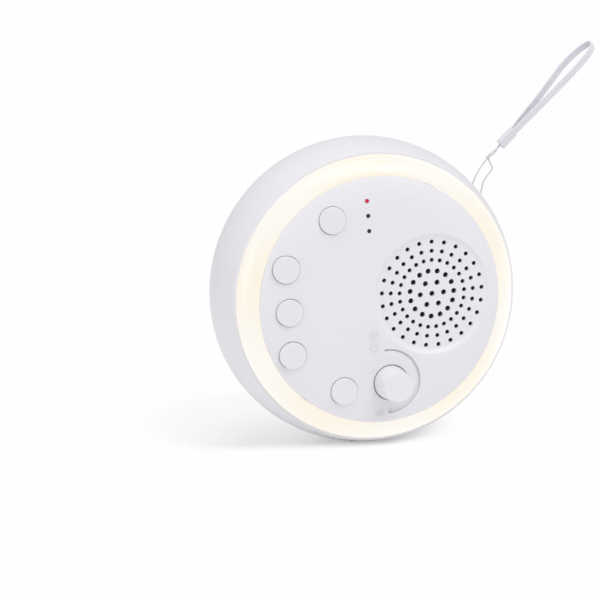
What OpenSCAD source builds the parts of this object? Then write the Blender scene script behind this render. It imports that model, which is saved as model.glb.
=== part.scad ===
// Portable white noise sound machine: a round housing that stands on its rim, with a domed
// control panel, a light ring, a speaker, five push buttons, a turning knob and a wrist strap.
// Front faces -Y, +Z is up, the origin is on the floor under the middle of the body.

/* [Housing] */
// Largest diameter of the housing
body_d = 105; // [103:0.5:110]
// Depth of the housing behind its front lip
body_depth = 39; // [38:0.5:44]
// Wall thickness of the housing
wall = 2.2; // [1.8:0.1:2.6]
// Distance behind the lip at which the housing is widest
belly_y = 18; // [14:0.5:19]
// Radius of the rounded rear edge
back_round = 21; // [16:0.5:22]
// Width of the flat that the housing stands on
flat_w = 24; // [18:1:28]
// Width of the housing's bare lip around the light ring
lip_w = 0.8; // [0.4:0.1:1.2]

/* [Light ring] */
// Outer diameter of the light ring
ring_d = 97; // [95:0.5:98]
// Width of the light ring, seen from the front
ring_w = 6.5; // [6:0.1:7.5]
// How far the ring's inner edge stands in front of the lip
ring_rise = 5.7; // [4.8:0.1:6.5]
// Bulge of the ring's face over a straight cone
ring_bulge = 1.3; // [0.8:0.1:1.8]
// Wall thickness of the light ring
ring_wall = 1.6; // [1.2:0.1:2]
// Number of lamps behind the light ring
lamp_count = 24; // [12:2:36]

/* [Panel] */
// Height of the panel's flat middle above its own edge
panel_crown = 1.5; // [1:0.1:2]
// Radius of the panel's flat middle
panel_flat_r = 32; // [30:0.5:35]
// Thickness of the panel
panel_t = 2; // [1.8:0.1:2.4]
// Thickness of the panel's skirt
skirt_t = 1; // [0.8:0.1:1.1]
// Radius of the moulded groove's outer edge around the knob
groove_r = 11.1; // [10.8:0.1:11.6]
// Radius of the groove's inner edge
groove_in_r = 9.85; // [9.5:0.05:10]
// Depth of the groove
groove_depth = 0.8; // [0.4:0.1:1.2]
// Height of the raised sun marks
mark_h = 0.12; // [0.08:0.02:0.3]

/* [Speaker] */
// Distance of the speaker to the right of the middle
spk_x = 18.1; // [17.6:0.1:18.5]
// Height of the speaker above the middle
spk_z = 0; // [-0.5:0.1:0.5]
// Diameter of the speaker's frame
spk_d = 40; // [38:0.5:40.5]
// Radius of the recess around the sound holes
dish_r = 21; // [20.6:0.1:21.2]
// Depth of the recess
dish_depth = 0.9; // [0.5:0.1:1.2]
// Diameter of the inner sound holes
hole_in_d = 1.84; // [1.6:0.02:1.9]
// Diameter of the outer sound holes
hole_out_d = 1.5; // [1.3:0.02:1.6]
// Travel of the speaker's cone each way
cone_travel = 0.5; // [0.2:0.1:0.6]

/* [Buttons] */
// Diameter of the button caps
button_d = 9.2; // [8.8:0.1:9.6]
// Gap round a button cap
button_gap = 0.15; // [0.1:0.05:0.3]
// How far a cap stands out of the panel
button_proud = 0.7; // [0.2:0.1:0.8]
// Travel of a button
button_travel = 0.5; // [0.3:0.1:0.7]
// Distance of the button column to the left of the middle
column_x = 32.1; // [31.8:0.1:32.4]
// Spacing of the buttons in the column
column_pitch = 14.6; // [13.6:0.1:15]

/* [Knob] */
// Distance of the knob to the right of the middle
knob_x = 1.25; // [0.75:0.05:1.75]
// Distance of the knob below the middle
knob_drop = 28.4; // [28:0.1:28.8]
// Diameter of the knob at the panel
knob_d = 11.7; // [11:0.1:12]
// Diameter of the knob's end face
knob_end_d = 10.2; // [9:0.1:10.6]
// How far the knob stands out of the panel
knob_h = 8.6; // [7:0.1:9]
// Gap round the knob
knob_gap = 0.25; // [0.2:0.05:0.35]
// Diameter of the potentiometer's shaft
shaft_d = 6; // [5:0.5:6]

/* [Boards and battery] */
// Thickness of the main circuit board
board_t = 1.6; // [1.2:0.1:1.8]
// Distance of the main board's front behind the housing's lip
board_y = 3; // [2.8:0.1:3.4]
// Diameter of the battery cell
cell_d = 18.2; // [17.5:0.1:18.4]
// Length of the battery cell
cell_l = 65; // [60:0.5:66]
// Height of the battery above the middle
cell_z = 9; // [8:0.5:9.5]
// Depth of the charging socket below the middle
usb_drop = 26; // [25:0.5:27]
// Diameter of an insulated lead
lead_d = 1.2; // [1:0.1:1.4]

/* [Fixings and feet] */
// Distance of the housing's screws from the middle
post_r = 35.4; // [35.2:0.1:35.6]
// Thread diameter of the housing's screws
screw_d = 2.4; // [2.2:0.1:2.6]
// Thread diameter of the board's and the speaker's screws
small_screw_d = 1.6; // [1.5:0.1:1.8]
// How far the rubber feet stand out
foot_out = 0.5; // [0.4:0.1:0.8]
// Diameter of the rear feet
rear_foot_d = 8; // [7:0.5:9]

/* [Strap] */
// Diameter of the strap's string
string_d = 0.5; // [0.4:0.1:0.6]
// Width of the strap's webbing
web_w = 3.1; // [2.8:0.1:3.4]
// Thickness of the strap's webbing
web_t = 0.5; // [0.4:0.1:0.7]
// Radius of the bar that the string goes round
bar_r = 1.1; // [1:0.1:1.3]

/* [Hidden] */

// Clearances
fit_gap = 0.1;
thread_gap = 0.05;
shaft_gap = 0.05;
free_gap = 0.3;
grip_gap = 0.02;
eps = 0.01;
// How far a cut runs past what it cuts, and a boss into what it stands on
over = 1;
boss_root = 0.5;

// Facets
fine_fn = 128;
round_fn = 64;
small_fn = 32;
arc_steps = 12;

// Housing and frame
body_r = body_d / 2;
ring_r = ring_d / 2;
lip_r = ring_r + lip_w;
swell = body_r - lip_r;
flat_z = sqrt(body_r * body_r - flat_w * flat_w / 4);
axis_z = flat_z + foot_out;
floor_y = body_depth - wall;

// Light ring
ring_in_r = ring_r - ring_w;
ring_chord = sqrt(ring_w * ring_w + ring_rise * ring_rise);
ring_arc_r = (ring_chord * ring_chord / 4 + ring_bulge * ring_bulge) / (2 * ring_bulge);
ring_arc_x = ring_r - ring_w / 2 - ring_rise / ring_chord * (ring_arc_r - ring_bulge);
ring_arc_y = -ring_rise / 2 + ring_w / ring_chord * (ring_arc_r - ring_bulge);
seat_y = 1;
ring_board_t = 1.2;
seat_r = min(front_r(0), front_r(seat_y + ring_board_t)) - wall - fit_gap;
ring_skirt_r = seat_r - ring_wall;
ring_hook_r = ring_in_r + ring_wall;
ring_hook_y = -2.5;
lamp_r = (ring_hook_r + ring_skirt_r) / 2;
shelf_t = 2;
shelf_bite = 1;
shelf_r = ring_skirt_r - shelf_bite;
lamp_size = [2, 1.6];
lamp_h = 0.7;

// Panel
panel_r = ring_in_r - fit_gap;
face_y = -ring_rise - panel_crown;
back_y = face_y + panel_t;
crown_w = panel_r - panel_flat_r;
crown_r = (crown_w * crown_w + panel_crown * panel_crown) / (2 * panel_crown);
skirt_in_r = panel_r - skirt_t;
groove_centre = [-0.65, 0.5];
groove_in_centre = [-0.75, 1.15];
groove_end_x = -1.5;

// Sun marks: place right of and above the middle, radius of the circle, reach of the rays
marks = [[-3.6, -11.4, 1, 1.9], [-3.9, -15.8, 1.2, 2.2], [-3.1, -38.3, 0.85, 1.65]];
mark_rays = 8;
mark_line = 0.3;

// Speaker: spk_y is its flange's front, and its depths are measured back from there
spk_y = -3.4;
spk_r = spk_d / 2;
spider_depth = 6;
basket_depth = 7.5;
neck_depth = 2.8;
cone_edge_depth = 0.5;
hole_rings = [[6, 4.13, hole_in_d], [15, 7.77, hole_in_d],
              [25, 11.44, hole_out_d], [25, 14.55, hole_out_d], [25, 17.67, hole_out_d]];
hole_fn = 16;
dish_wall = 2.4;
flange_t = 0.8;
flange_w = 2.7;
flange_in_r = spk_r - flange_w;
ear_angles = [55, 125, 235, 305];
ear_out = 2.4;
ear_at = spk_r + ear_out;
ear_r = 3;
frame_t = 0.8;
frame_neck_r = 13.2;
spider_y = spk_y + spider_depth;
spider_t = 0.25;
spider_wave = 0.35;
spider_waves = 3;
spider_steps = 24;
spider_in_gap = 0.35;
frame_floor_y = spk_y + basket_depth;
frame_hole_gap = 0.3;
frame_window = [8, 3.4];
frame_window_back = 0.6;
frame_back_y = frame_floor_y + frame_t;
spider_r = frame_neck_r - thread_gap;
plate_r = 12.5;
plate_t = 2;
magnet_r = 14;
magnet_in_r = 7;
magnet_t = 4;
magnet_y = frame_back_y + plate_t;
yoke_y = magnet_y + magnet_t;
yoke_t = 2;
pole_r = 4.6;
coil_gap = 0.4;
former_r = pole_r + coil_gap;
former_t = 0.15;
winding_t = 0.35;
winding_r = former_r + former_t + winding_t;
plate_in_r = winding_r + coil_gap;
// The winding stands past both faces of the top plate by the cone's travel
winding_from_y = frame_back_y - cone_travel;
winding_end_y = magnet_y + cone_travel;
former_past = 0.1;
neck_y = spk_y + neck_depth;
cone_r = 15;
cone_t = 0.4;
cone_edge_y = spk_y + cone_edge_depth;
cap_r = 5.4;
cap_rise = 1.6;
roll_r = 1.05;
roll_t = 0.35;
lip_t = 0.3;
roll_at = cone_r + free_gap + roll_r;
roll_out_r = roll_at + roll_r;
roll_rim_inset = 0.8;
roll_rim_r = spk_r - roll_rim_inset;
cloth_t = 0.3;
cloth_y = back_y;
cloth_inset = 0.5;
cloth_r = spk_r - cloth_inset;

// Buttons: places right of and above the middle
column_z = -0.1;
BUTTON_AT = [[-15, 29.1], [-column_x, column_z + column_pitch], [-column_x, column_z],
             [-column_x, column_z - column_pitch], [-15.3, -29.2]];
cap_shell = 1.2;
cap_edge = 0.3;
flange_extra = 0.9;
cap_flange_t = 0.8;
flange_front_y = back_y + free_gap;
flange_back_y = flange_front_y + cap_flange_t;
stem_r = 1.6;
switch_size = 6;
switch_h = 3.5;
plunger_r = 1.7;
plunger_out = 1.7;
plunger_top_y = board_y - switch_h - plunger_out;
switch_top_y = board_y - switch_h;
plunger_in = 1;

// Indicators
INDICATOR_X = -2.6;
INDICATOR_Z = [34.25, 29.2, 24.05];
pipe_r = 0.65;
pipe_collar_r = 1.1;
pipe_collar_t = 0.6;
pipe_proud = 0.05;
pipe_lamp_gap = 0.2;
chip_lamp_h = 0.7;
chip_lamp_size = [1.6, 0.8];

// Knob and potentiometer
knob_z = -knob_drop;
knob_r = knob_d / 2;
knob_face_y = face_y - knob_h;
knob_past_panel = 0.8;
knob_foot_y = back_y + knob_past_panel;
shaft_r = shaft_d / 2;
shaft_flat = shaft_r / 2;
knob_end_t = 2.6;
shaft_end_gap = 0.2;
shaft_tip_y = knob_face_y + knob_end_t + shaft_end_gap;
pot_size = [9.5, 10.4];
pot_h = 6.6;
pot_floor = 1.8;
pot_front_y = board_y - pot_h;
shaft_end_y = board_y - pot_floor;
knob_edge = 0.35;

// Main board
board_gap = 0.4;
board_cut_gap = 1.2;
board_r = skirt_in_r - board_gap;
board_right_x = 14;
board_back_y = board_y + board_t;
board_cut_r = spk_r + board_cut_gap;
BOARD_SCREWS = [[-18, 12], [-18, -12], [6, 30], [-7.4, -33]];
small_boss_r = 2.2;
small_head_r = 1.7;
small_head_h = 1;
board_screw_l = 6.1;
small_pilot_past = 0.6;
// Chips on the main board: place right of and above the middle, width, height, thickness
BOARD_CHIPS = [[-22, 0, 7.4, 10, 1.5], [-27, -10, 5, 4, 1.2], [-13, 26, 5, 4, 1.5]];
// Round parts on the main board: place, radius, height
BOARD_CANS = [[-20, 18, 2.5, 5.4], [-14, -24, 2.5, 5.4], [-27, 9, 2, 3]];
SPK_SOCKET = [-10, 0.5];
RING_SOCKET = [-31, 5];
LINK_SOCKET = [-10, -17];
socket_size = [6, 4.4];
socket_h = 4;
socket_wall = 0.6;
socket_floor = 1;
plug_y = board_back_y + socket_floor;

// Housing posts and their screws
POST_ANGLES = [47, 137, 227, 317];
post_top_y = 6;
post_out_r = 3.2;
post_base_r = 4.2;
post_seat_y = 16;
head_bore_r = 2.9;
head_r = 2.3;
head_h = 1.6;
screw_l = 16;
pilot_past = 1.5;
screw_tip_y = post_seat_y - screw_l;
pilot_end_y = screw_tip_y - pilot_past;

// Feet
foot_t = 1.5;
base_foot_margin = 2.5;
base_foot_size = [flat_w - 2 * base_foot_margin, 14];
base_foot_y = (belly_y + body_depth - back_round - base_foot_size[1]) / 2;
rear_foot_at = 17;

// Battery and its saddles
cell_r = cell_d / 2;
sleeve_t = 0.15;
pad_t = 0.4;
cell_board_r = 8.6;
cell_board_t = 0.8;
nub_r = 3;
nub_h = 0.6;
// The cell lies on its pad, or further forward where its end board would meet the rounded edge
round_reach = back_round - wall - free_gap - cell_board_r;
round_off = norm([cell_l / 2 + nub_h + cell_board_t, cell_z]) - (body_r - back_round);
round_seat_y = body_depth - back_round + sqrt(max(0, round_reach * round_reach - round_off * round_off));
cell_y = min(floor_y - pad_t - sleeve_t - cell_r, round_seat_y);
saddle_x = 18;
saddle_t = 2;
saddle_wall = 2.2;
saddle_wrap = 4.6;
saddle_grip = 0.5;
pad_w = 5;
pad_from_saddle = 4;

// Charging board
usb_z = -usb_drop;
usb_size = [8.94, 7.35, 3.26];
usb_mouth_gap = 0.2;
usb_mouth_in = 0.3;
usb_mouth_y = body_depth - usb_mouth_in;
usb_wall = 0.3;
usb_floor_t = 1;
usb_from_y = usb_mouth_y - usb_size[1];
tongue_size = [6.7, 0.7];
tongue_back = 0.9;
charge_top_z = usb_z - usb_size[2] / 2;
charge_t = 1;
charge_w = 20;
// How far the board, its sockets and its chips lie in front of the shell's closed end
charge_reach = 12.35;
socket_reach = 8.85;
chip_reach = 3.85;
charge_y = usb_from_y - charge_reach;
charge_socket_y = usb_from_y - socket_reach;
charge_chip_y = usb_from_y - chip_reach;
charge_end_gap = 0.2;
rail_t = 2.2;
rail_bite = 0.8;
rail_from = 1;
CELL_SOCKET = [5, charge_socket_y];
MAIN_SOCKET = [-5, charge_socket_y];
charge_socket = [6, 4, 4];
// Chips on the charging board: place right of the middle and behind the lip, and size
CHARGE_CHIPS = [[[-4, charge_chip_y], [4, 4, 1.2]], [[4, charge_chip_y], [4, 4, 2]]];

// Leads: the gap at a lead's end, and half the distance between two leads of a pair
lead_gap = 0.2;
lead_apart = 0.8;
lead_steps = 3;
// How far the ring's leads are soldered outside the panel's skirt
ring_pad_out = 1.4;

// Strap bar in its pocket
strap_angle = 32.3;
strap_y = 20;
bar_in = 1.25;
bar_at = body_r - bar_in;
pocket_w = 7.6;
pocket_h = 4;
pocket_depth = 3.9;
pocket_deep = body_r - pocket_depth;
pocket_wall = 1.4;

// Route of the string, right of and above the middle, from the sleeve round the bar and back
STRING = [[55.5, 43.9], [54.1, 42.8], [52, 41.5], [50.3, 40.4], [49.9, 39.2], [48.9, 38.5],
          [47, 36.2], [45.2, 33.8], [43.9, 31.4], [42.4, 29.2], [41.6, 27.8], [41.9, 26.4],
          [43.3, 25.4], [45, 25.6], [46.4, 27.4], [47, 29], [47.7, 31.1], [49.1, 33],
          [50.8, 34.7], [51.2, 35.9], [50.6, 37.6], [50.2, 39.3], [52.3, 40.4], [53.4, 41.7],
          [54.1, 42.8], [55.5, 43.7]];
// How far each point of the string lies behind the strap's middle plane
STRING_BACK = [-0.4, -0.5, -0.5, -0.5, -0.5, -0.3, 0, 0, 0, 0, 0, 0, 0, 0, 0, 0, 0, 0, 0, 0, 0.3,
               0.5, 0.5, 0.5, 0.5, 0.4];
knot_at = [49.9, 39.2];
knot_r = 0.8;
SLEEVE_FROM = [54.6, 43.2];
SLEEVE_TO = [59.9, 47.6];
sleeve_w = 4.3;
sleeve_depth = 1.65;
sleeve_edge = 0.5;
// The webbing's loop: distance past the sleeve, and to the right of the sleeve's middle
LOOP = [[-1.2, 0.3], [0, 0.35], [4, 0.5], [8, 0.65], [12, 0.8], [16, 0.85], [20, 0.95], [24, 1],
        [28, 1.05], [32, 0.85], [36, 0.6], [38.4, 0.2], [40.2, -0.5], [41, -1.7], [40.3, -2.9],
        [38.4, -3.6], [36, -4.1], [32, -4.45], [28, -4.4], [24, -3.8], [20, -3.15], [16, -2.5],
        [12, -1.95], [8, -1.6], [4, -1.1], [0, -0.4], [-1.2, -0.3]];
// The loop's plane and the sleeve are turned by this about the strap's length
loop_turn = 60;
strap_steps = 2;

// The middle of the body from front to back, which lies over the origin
front_y = knob_face_y;
rear_y = body_depth + foot_out;
mid_y = (front_y + rear_y) / 2;

// Colours
C_HOUSING = "whitesmoke";
C_RING = "lightyellow";
C_PANEL = "gainsboro";
C_RUBBER = "dimgray";
C_STEEL = "silver";
C_BOARD = "seagreen";
C_DARK = "#262626";
C_COPPER = "peru";
C_STRAP = "lavender";

// ---------------------------------------------------------------- helpers

// Everything is drawn about the housing's axis and lip, then stood on the floor
module stand() {
    translate([0, -mid_y, axis_z]) children();
}

// A profile of radius and depth, turned about the housing's axis or one beside it
module turned(x = 0, z = 0, fn = round_fn) {
    translate([x, 0, z]) rotate([-90, 0, 0]) rotate_extrude($fn = fn) children();
}

// A round rod along Y from y0 to y1
module rod(x, z, y0, y1, r, fn = small_fn) {
    translate([x, y0, z]) rotate([-90, 0, 0]) cylinder(h = y1 - y0, r = r, $fn = fn);
}

// A tube along Y
module pipe(x, z, y0, y1, r, r_in, fn = round_fn) {
    turned(x, z, fn) translate([r_in, y0]) square([r - r_in, y1 - y0]);
}

// A block given by its middle in X and Z and its ends in Y
module block(x, z, y0, y1, w, h) {
    translate([x - w / 2, y0, z - h / 2]) cube([w, y1 - y0, h]);
}

// Points of an arc
function arc(cx, cy, r, a0, a1, n = arc_steps) =
    [for (i = [0:n]) let (a = a0 + (a1 - a0) * i / n) [cx + r * cos(a), cy + r * sin(a)]];

function unit(v) = v / norm(v);
function last(v) = len(v) - 1;
function clamp_at(v, i) = v[min(max(i, 0), last(v))];

// A point of the smooth curve through p, t of the way from point i to the next
function curve_point(p, i, t) =
    let (a = clamp_at(p, i - 1), b = clamp_at(p, i), c = clamp_at(p, i + 1), d = clamp_at(p, i + 2))
    0.5 * (2 * b + (c - a) * t + (2 * a - 5 * b + 4 * c - d) * t * t
           + (3 * b - a - 3 * c + d) * t * t * t);

function smooth(p, steps) =
    [for (i = [0:last(p) - 1]) for (s = [0:steps - 1]) curve_point(p, i, s / steps), p[last(p)]];

// The housing's outer radius in front of its widest place, y behind the lip
function front_r(y) = body_r - swell * pow((belly_y - y) / belly_y, 2);

function tangent(p, i) = unit(clamp_at(p, i + 1) - clamp_at(p, i - 1));

// A flexible piece: an oval outline of half-widths a and b, swept along p, b along the side
// vector, a across it
module swept(p, a, b, side, sides = 8) {
    rings = len(p);
    points = [for (i = [0:rings - 1])
        let (t = tangent(p, i), u = unit(cross(t, side)), v = unit(cross(u, t)))
        for (k = [0:sides - 1])
        let (w = 360 * (k + 0.5) / sides)
        p[i] + a * cos(w) * u + b * sin(w) * v];
    walls = [for (i = [0:rings - 2]) for (k = [0:sides - 1])
        let (n = (k + 1) % sides)
        [i * sides + k, (i + 1) * sides + k, (i + 1) * sides + n, i * sides + n]];
    start_cap = [for (k = [0:sides - 1]) k];
    end_cap = [for (k = [sides - 1:-1:0]) (rings - 1) * sides + k];
    polyhedron(points, concat([start_cap], walls, [end_cap]));
}

// A pan-head screw along Y: the head's seat at y0, the tip at y1
module screw(x, z, y0, y1, d, head, head_len) {
    rod(x, z, min(y0, y1), max(y0, y1), d / 2);
    difference() {
        rod(x, z, y0, y0 + head_len, head);
        rod(x, z, y0 + head_len / 2, y0 + head_len + eps, head / 3, 6);
    }
}

// ---------------------------------------------------------------- housing

// The housing's outer form, shrunk by k
module housing_form(k, front = 0) {
    front_arc = [for (i = [0:arc_steps]) let (y = belly_y * i / arc_steps) [front_r(y) - k, y]];
    back_arc = arc(body_r - back_round, body_depth - back_round, back_round - k, 0, 90);
    mouth = front < 0 ? [[front_arc[0][0], front]] : [];
    intersection() {
        turned(fn = fine_fn)
            polygon(concat([[0, front]], mouth, front_arc, back_arc, [[0, body_depth - k]]));
        translate([-body_d, front - eps, -flat_z + k])
            cube([2 * body_d, 2 * body_depth, 2 * body_d]);
    }
}

module post_places() {
    for (a = POST_ANGLES) translate([post_r * cos(a), 0, post_r * sin(a)]) children();
}

module rear_foot_places() {
    for (x = [-rear_foot_at, rear_foot_at], z = [-rear_foot_at, rear_foot_at])
        translate([x, 0, z]) children();
}

module saddles() {
    for (x = [-saddle_x, saddle_x])
        difference() {
            block(x, cell_z, cell_y - saddle_wrap, body_depth, saddle_t,
                  2 * (cell_r + sleeve_t + saddle_wall));
            translate([x - saddle_t, cell_y, cell_z]) rotate([0, 90, 0])
                cylinder(h = 2 * saddle_t, r = cell_r + sleeve_t + thread_gap, $fn = round_fn);
            block(x, cell_z, 0, cell_y, 2 * saddle_t, 2 * (cell_r + sleeve_t - saddle_grip));
        }
}

module charge_rails() {
    for (s = [-1, 1])
        difference() {
            block(s * (charge_w / 2 + thread_gap - rail_bite + rail_t / 2), charge_top_z - charge_t / 2,
                  charge_y + rail_from, body_depth, rail_t, charge_t + 2 * rail_t);
            block(0, charge_top_z - charge_t / 2, 0, floor_y,
                  charge_w + 2 * thread_gap, charge_t + 2 * thread_gap);
        }
}

// The strap's pocket, pointing out of the rim: a box of the given growth
module strap_box(grow, from_r) {
    translate([0, strap_y, 0]) rotate([0, -strap_angle, 0])
        translate([from_r, -pocket_h / 2 - grow, -pocket_w / 2 - grow])
            cube([body_r, pocket_h + 2 * grow, pocket_w + 2 * grow]);
}

module rear_housing() {
    color(C_HOUSING) stand()
    difference() {
        union() {
            difference() {
                housing_form(0);
                housing_form(wall, -over);
            }
            intersection() {
                housing_form(wall / 2);
                union() {
                    pipe(0, 0, seat_y + ring_board_t, seat_y + ring_board_t + shelf_t,
                         body_r, shelf_r, fine_fn);
                    post_places() {
                        rod(0, 0, post_top_y, post_seat_y, post_out_r);
                        rod(0, 0, post_seat_y - wall, body_depth, post_base_r);
                    }
                    saddles();
                    charge_rails();
                    strap_box(pocket_wall, pocket_deep - pocket_wall);
                }
            }
            strap_bar();
        }
        post_places() {
            rod(0, 0, 0, body_depth, screw_d / 2 + fit_gap);
            rod(0, 0, post_seat_y, body_depth + over, head_bore_r);
        }
        difference() {
            strap_box(0, pocket_deep);
            strap_bar();
        }
        usb_opening();
        rear_foot_places() rod(0, 0, rear_y - foot_t, rear_y, rear_foot_d / 2);
        base_foot_form(0);
    }
}

module strap_bar() {
    translate([bar_at * cos(strap_angle), strap_y - pocket_h / 2 - eps, bar_at * sin(strap_angle)])
        rotate([-90, 0, 0]) cylinder(h = pocket_h + 2 * eps, r = bar_r, $fn = small_fn);
}

module usb_opening() {
    r = usb_size[2] / 2 + usb_mouth_gap;
    reach = usb_size[0] / 2 - usb_size[2] / 2;
    for (s = [-1, 1]) rod(s * reach, usb_z, floor_y - over, body_depth + over, r);
    block(0, usb_z, floor_y - over, body_depth + over, 2 * reach, 2 * r);
}

module base_foot_form(out) {
    block(0, -flat_z - out + foot_t / 2, base_foot_y, base_foot_y + base_foot_size[1],
          base_foot_size[0], foot_t);
}

module base_foot() {
    color(C_RUBBER) stand() base_foot_form(foot_out);
}

module rear_feet() {
    color(C_RUBBER) stand()
        rear_foot_places() rod(0, 0, rear_y - foot_t, rear_y, rear_foot_d / 2);
}

module housing_screws() {
    color(C_STEEL) stand()
        post_places() screw(0, 0, post_seat_y, screw_tip_y, screw_d, head_r, head_h);
}

// ---------------------------------------------------------------- light ring

module light_ring() {
    a_out = atan2(-ring_arc_y, ring_r - ring_arc_x);
    a_in = atan2(-ring_rise - ring_arc_y, ring_in_r - ring_arc_x);
    r_in = ring_arc_r - ring_wall;
    b_out = -acos((ring_skirt_r - ring_arc_x) / r_in);
    b_in = -acos((ring_hook_r - ring_arc_x) / r_in);
    color(C_RING) stand()
        turned(fn = fine_fn) polygon(concat(
            arc(ring_arc_x, ring_arc_y, ring_arc_r, a_out, a_in),
            [[ring_in_r, ring_hook_y], [ring_hook_r, ring_hook_y]],
            arc(ring_arc_x, ring_arc_y, r_in, b_in, b_out),
            [[ring_skirt_r, seat_y], [seat_r, seat_y], [seat_r, 0]]));
}

module ring_board() {
    color(C_BOARD) stand()
        pipe(0, 0, seat_y, seat_y + ring_board_t, seat_r, skirt_in_r, fine_fn);
}

module ring_lamps() {
    color("khaki") stand()
        for (i = [0:lamp_count - 1])
            rotate([0, 360 * (i + 0.5) / lamp_count, 0])
                translate([lamp_r - lamp_size[1] / 2, seat_y - lamp_h, -lamp_size[0] / 2])
                    cube([lamp_size[1], lamp_h, lamp_size[0]]);
}

// ---------------------------------------------------------------- panel

module dish_cut() {
    floor_r = dish_r - dish_wall;
    half = dish_depth / 2;
    turned(spk_x, spk_z) polygon(concat(
        [[0, face_y - over], [dish_r, face_y - over], [dish_r, face_y]],
        [for (i = [1:arc_steps - 1]) let (t = i / arc_steps)
            [dish_r - dish_wall * t, face_y + half * (1 - cos(180 * t))]],
        [[floor_r, face_y + dish_depth], [0, face_y + dish_depth]]));
}

module sound_holes() {
    translate([spk_x, 0, spk_z]) {
        rod(0, 0, face_y - over, back_y + over, hole_in_d / 2);
        for (ring = hole_rings)
            for (i = [0:ring[0] - 1])
                rotate([0, -360 * i / ring[0], 0])
                    rod(ring[1], 0, face_y - over, back_y + over, ring[2] / 2, hole_fn);
    }
}

// The panel's front surface, moved back by shift, as a solid behind it
module crown_form(shift) {
    crown = arc(panel_flat_r, face_y + crown_r + shift, crown_r, -90,
                -90 + asin(crown_w / crown_r));
    turned(fn = fine_fn)
        polygon(concat([[0, face_y + shift]], crown, [[panel_r, seat_y], [0, seat_y]]));
}

module groove_cut() {
    difference() {
        rod(knob_x + groove_centre[0], knob_z + groove_centre[1], face_y - over, back_y,
            groove_r, round_fn);
        rod(knob_x + groove_in_centre[0], knob_z + groove_in_centre[1], face_y - 2 * over, back_y + over,
            groove_in_r, round_fn);
        translate([knob_x + groove_end_x - 2 * groove_r, face_y - 2 * over, knob_z - 2 * groove_r])
            cube([2 * groove_r, panel_t + 4 * over, 4 * groove_r]);
        crown_form(groove_depth);
    }
}

module sun_mark(m) {
    translate([m[0], 0, m[1]]) {
        pipe(0, 0, face_y - over, back_y - boss_root, m[2], m[2] - mark_line, small_fn);
        for (i = [0:mark_rays - 1])
            rotate([0, 360 * i / mark_rays, 0])
                translate([m[2] + mark_line, face_y - over, -mark_line / 2])
                    cube([m[3] - m[2] - mark_line, panel_t + over - boss_root, mark_line]);
    }
}

module ear_places() {
    for (a = ear_angles)
        translate([spk_x + ear_at * cos(a), 0, spk_z + ear_at * sin(a)]) children();
}

module front_panel() {
    color(C_PANEL) stand()
    difference() {
        union() {
            difference() {
                crown_form(0);
                rod(0, 0, back_y, seat_y + over, skirt_in_r, fine_fn);
                dish_cut();
                groove_cut();
            }
            intersection() {
                crown_form(-mark_h);
                union() { for (m = marks) sun_mark(m); }
            }
            post_places() rod(0, 0, back_y - boss_root, post_top_y, post_out_r);
            board_places() rod(0, 0, back_y - boss_root, board_y, small_boss_r);
            ear_places() rod(0, 0, back_y - boss_root, spk_y, small_boss_r);
        }
        sound_holes();
        for (p = BUTTON_AT)
            rod(p[0], p[1], face_y - over, back_y + eps, button_d / 2 + button_gap, round_fn);
        rod(knob_x, knob_z, face_y - over, back_y + over, knob_r + knob_gap, round_fn);
        for (z = INDICATOR_Z)
            rod(INDICATOR_X, z, face_y - over, back_y + over, pipe_r + thread_gap);
        post_places() rod(0, 0, pilot_end_y, post_top_y + over, screw_d / 2 + thread_gap);
        board_places() rod(0, 0, board_back_y - board_screw_l - small_pilot_past, board_y + over,
                           small_screw_d / 2 + thread_gap);
        ear_places() rod(0, 0, back_y - small_pilot_past, spk_y + over,
                         small_screw_d / 2 + thread_gap);
    }
}

// ---------------------------------------------------------------- speaker

module speaker_cloth() {
    color(C_DARK) stand() rod(spk_x, spk_z, cloth_y, cloth_y + cloth_t, cloth_r, round_fn);
}

module speaker_gasket() {
    color(C_DARK) stand()
        pipe(spk_x, spk_z, cloth_y + cloth_t, spk_y - lip_t, cloth_r, roll_out_r + free_gap);
}

module speaker_frame() {
    r = flange_in_r;
    color(C_STEEL) stand()
    difference() {
        union() {
            turned(spk_x, spk_z) polygon([
                [spk_r, spk_y], [spk_r, spk_y + flange_t], [r + frame_t, spk_y + flange_t],
                [frame_neck_r + frame_t, spider_y], [frame_neck_r + frame_t, frame_back_y],
                [plate_in_r + frame_hole_gap, frame_back_y],
                [plate_in_r + frame_hole_gap, frame_floor_y],
                [frame_neck_r, frame_floor_y], [frame_neck_r, spider_y - spider_wave],
                [r, spk_y + flange_t], [r, spk_y]]);
            difference() {
                ear_places() rod(0, 0, spk_y, spk_y + flange_t, ear_r);
                rod(spk_x, spk_z, spk_y - over, spk_y + flange_t + over, spk_r - flange_t, round_fn);
            }
        }
        ear_places() rod(0, 0, spk_y - over, spk_y + flange_t + over, small_screw_d / 2 + fit_gap);
        for (a = [45:90:315])
            translate([spk_x, 0, spk_z]) rotate([0, a, 0])
                translate([0, spk_y + flange_t + frame_window_back, -frame_window[0] / 2])
                    cube([spk_r, frame_window[1], frame_window[0]]);
    }
}

module speaker_surround() {
    color(C_DARK) stand()
        turned(spk_x, spk_z) polygon(concat(
            [[roll_rim_r, spk_y], [roll_rim_r, spk_y - lip_t], [roll_out_r, spk_y - lip_t]],
            arc(roll_at, spk_y - lip_t, roll_r, 0, -180),
            [[roll_at - roll_r, spk_y]],
            arc(roll_at, spk_y, roll_r - roll_t, -180, 0)));
}

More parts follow.
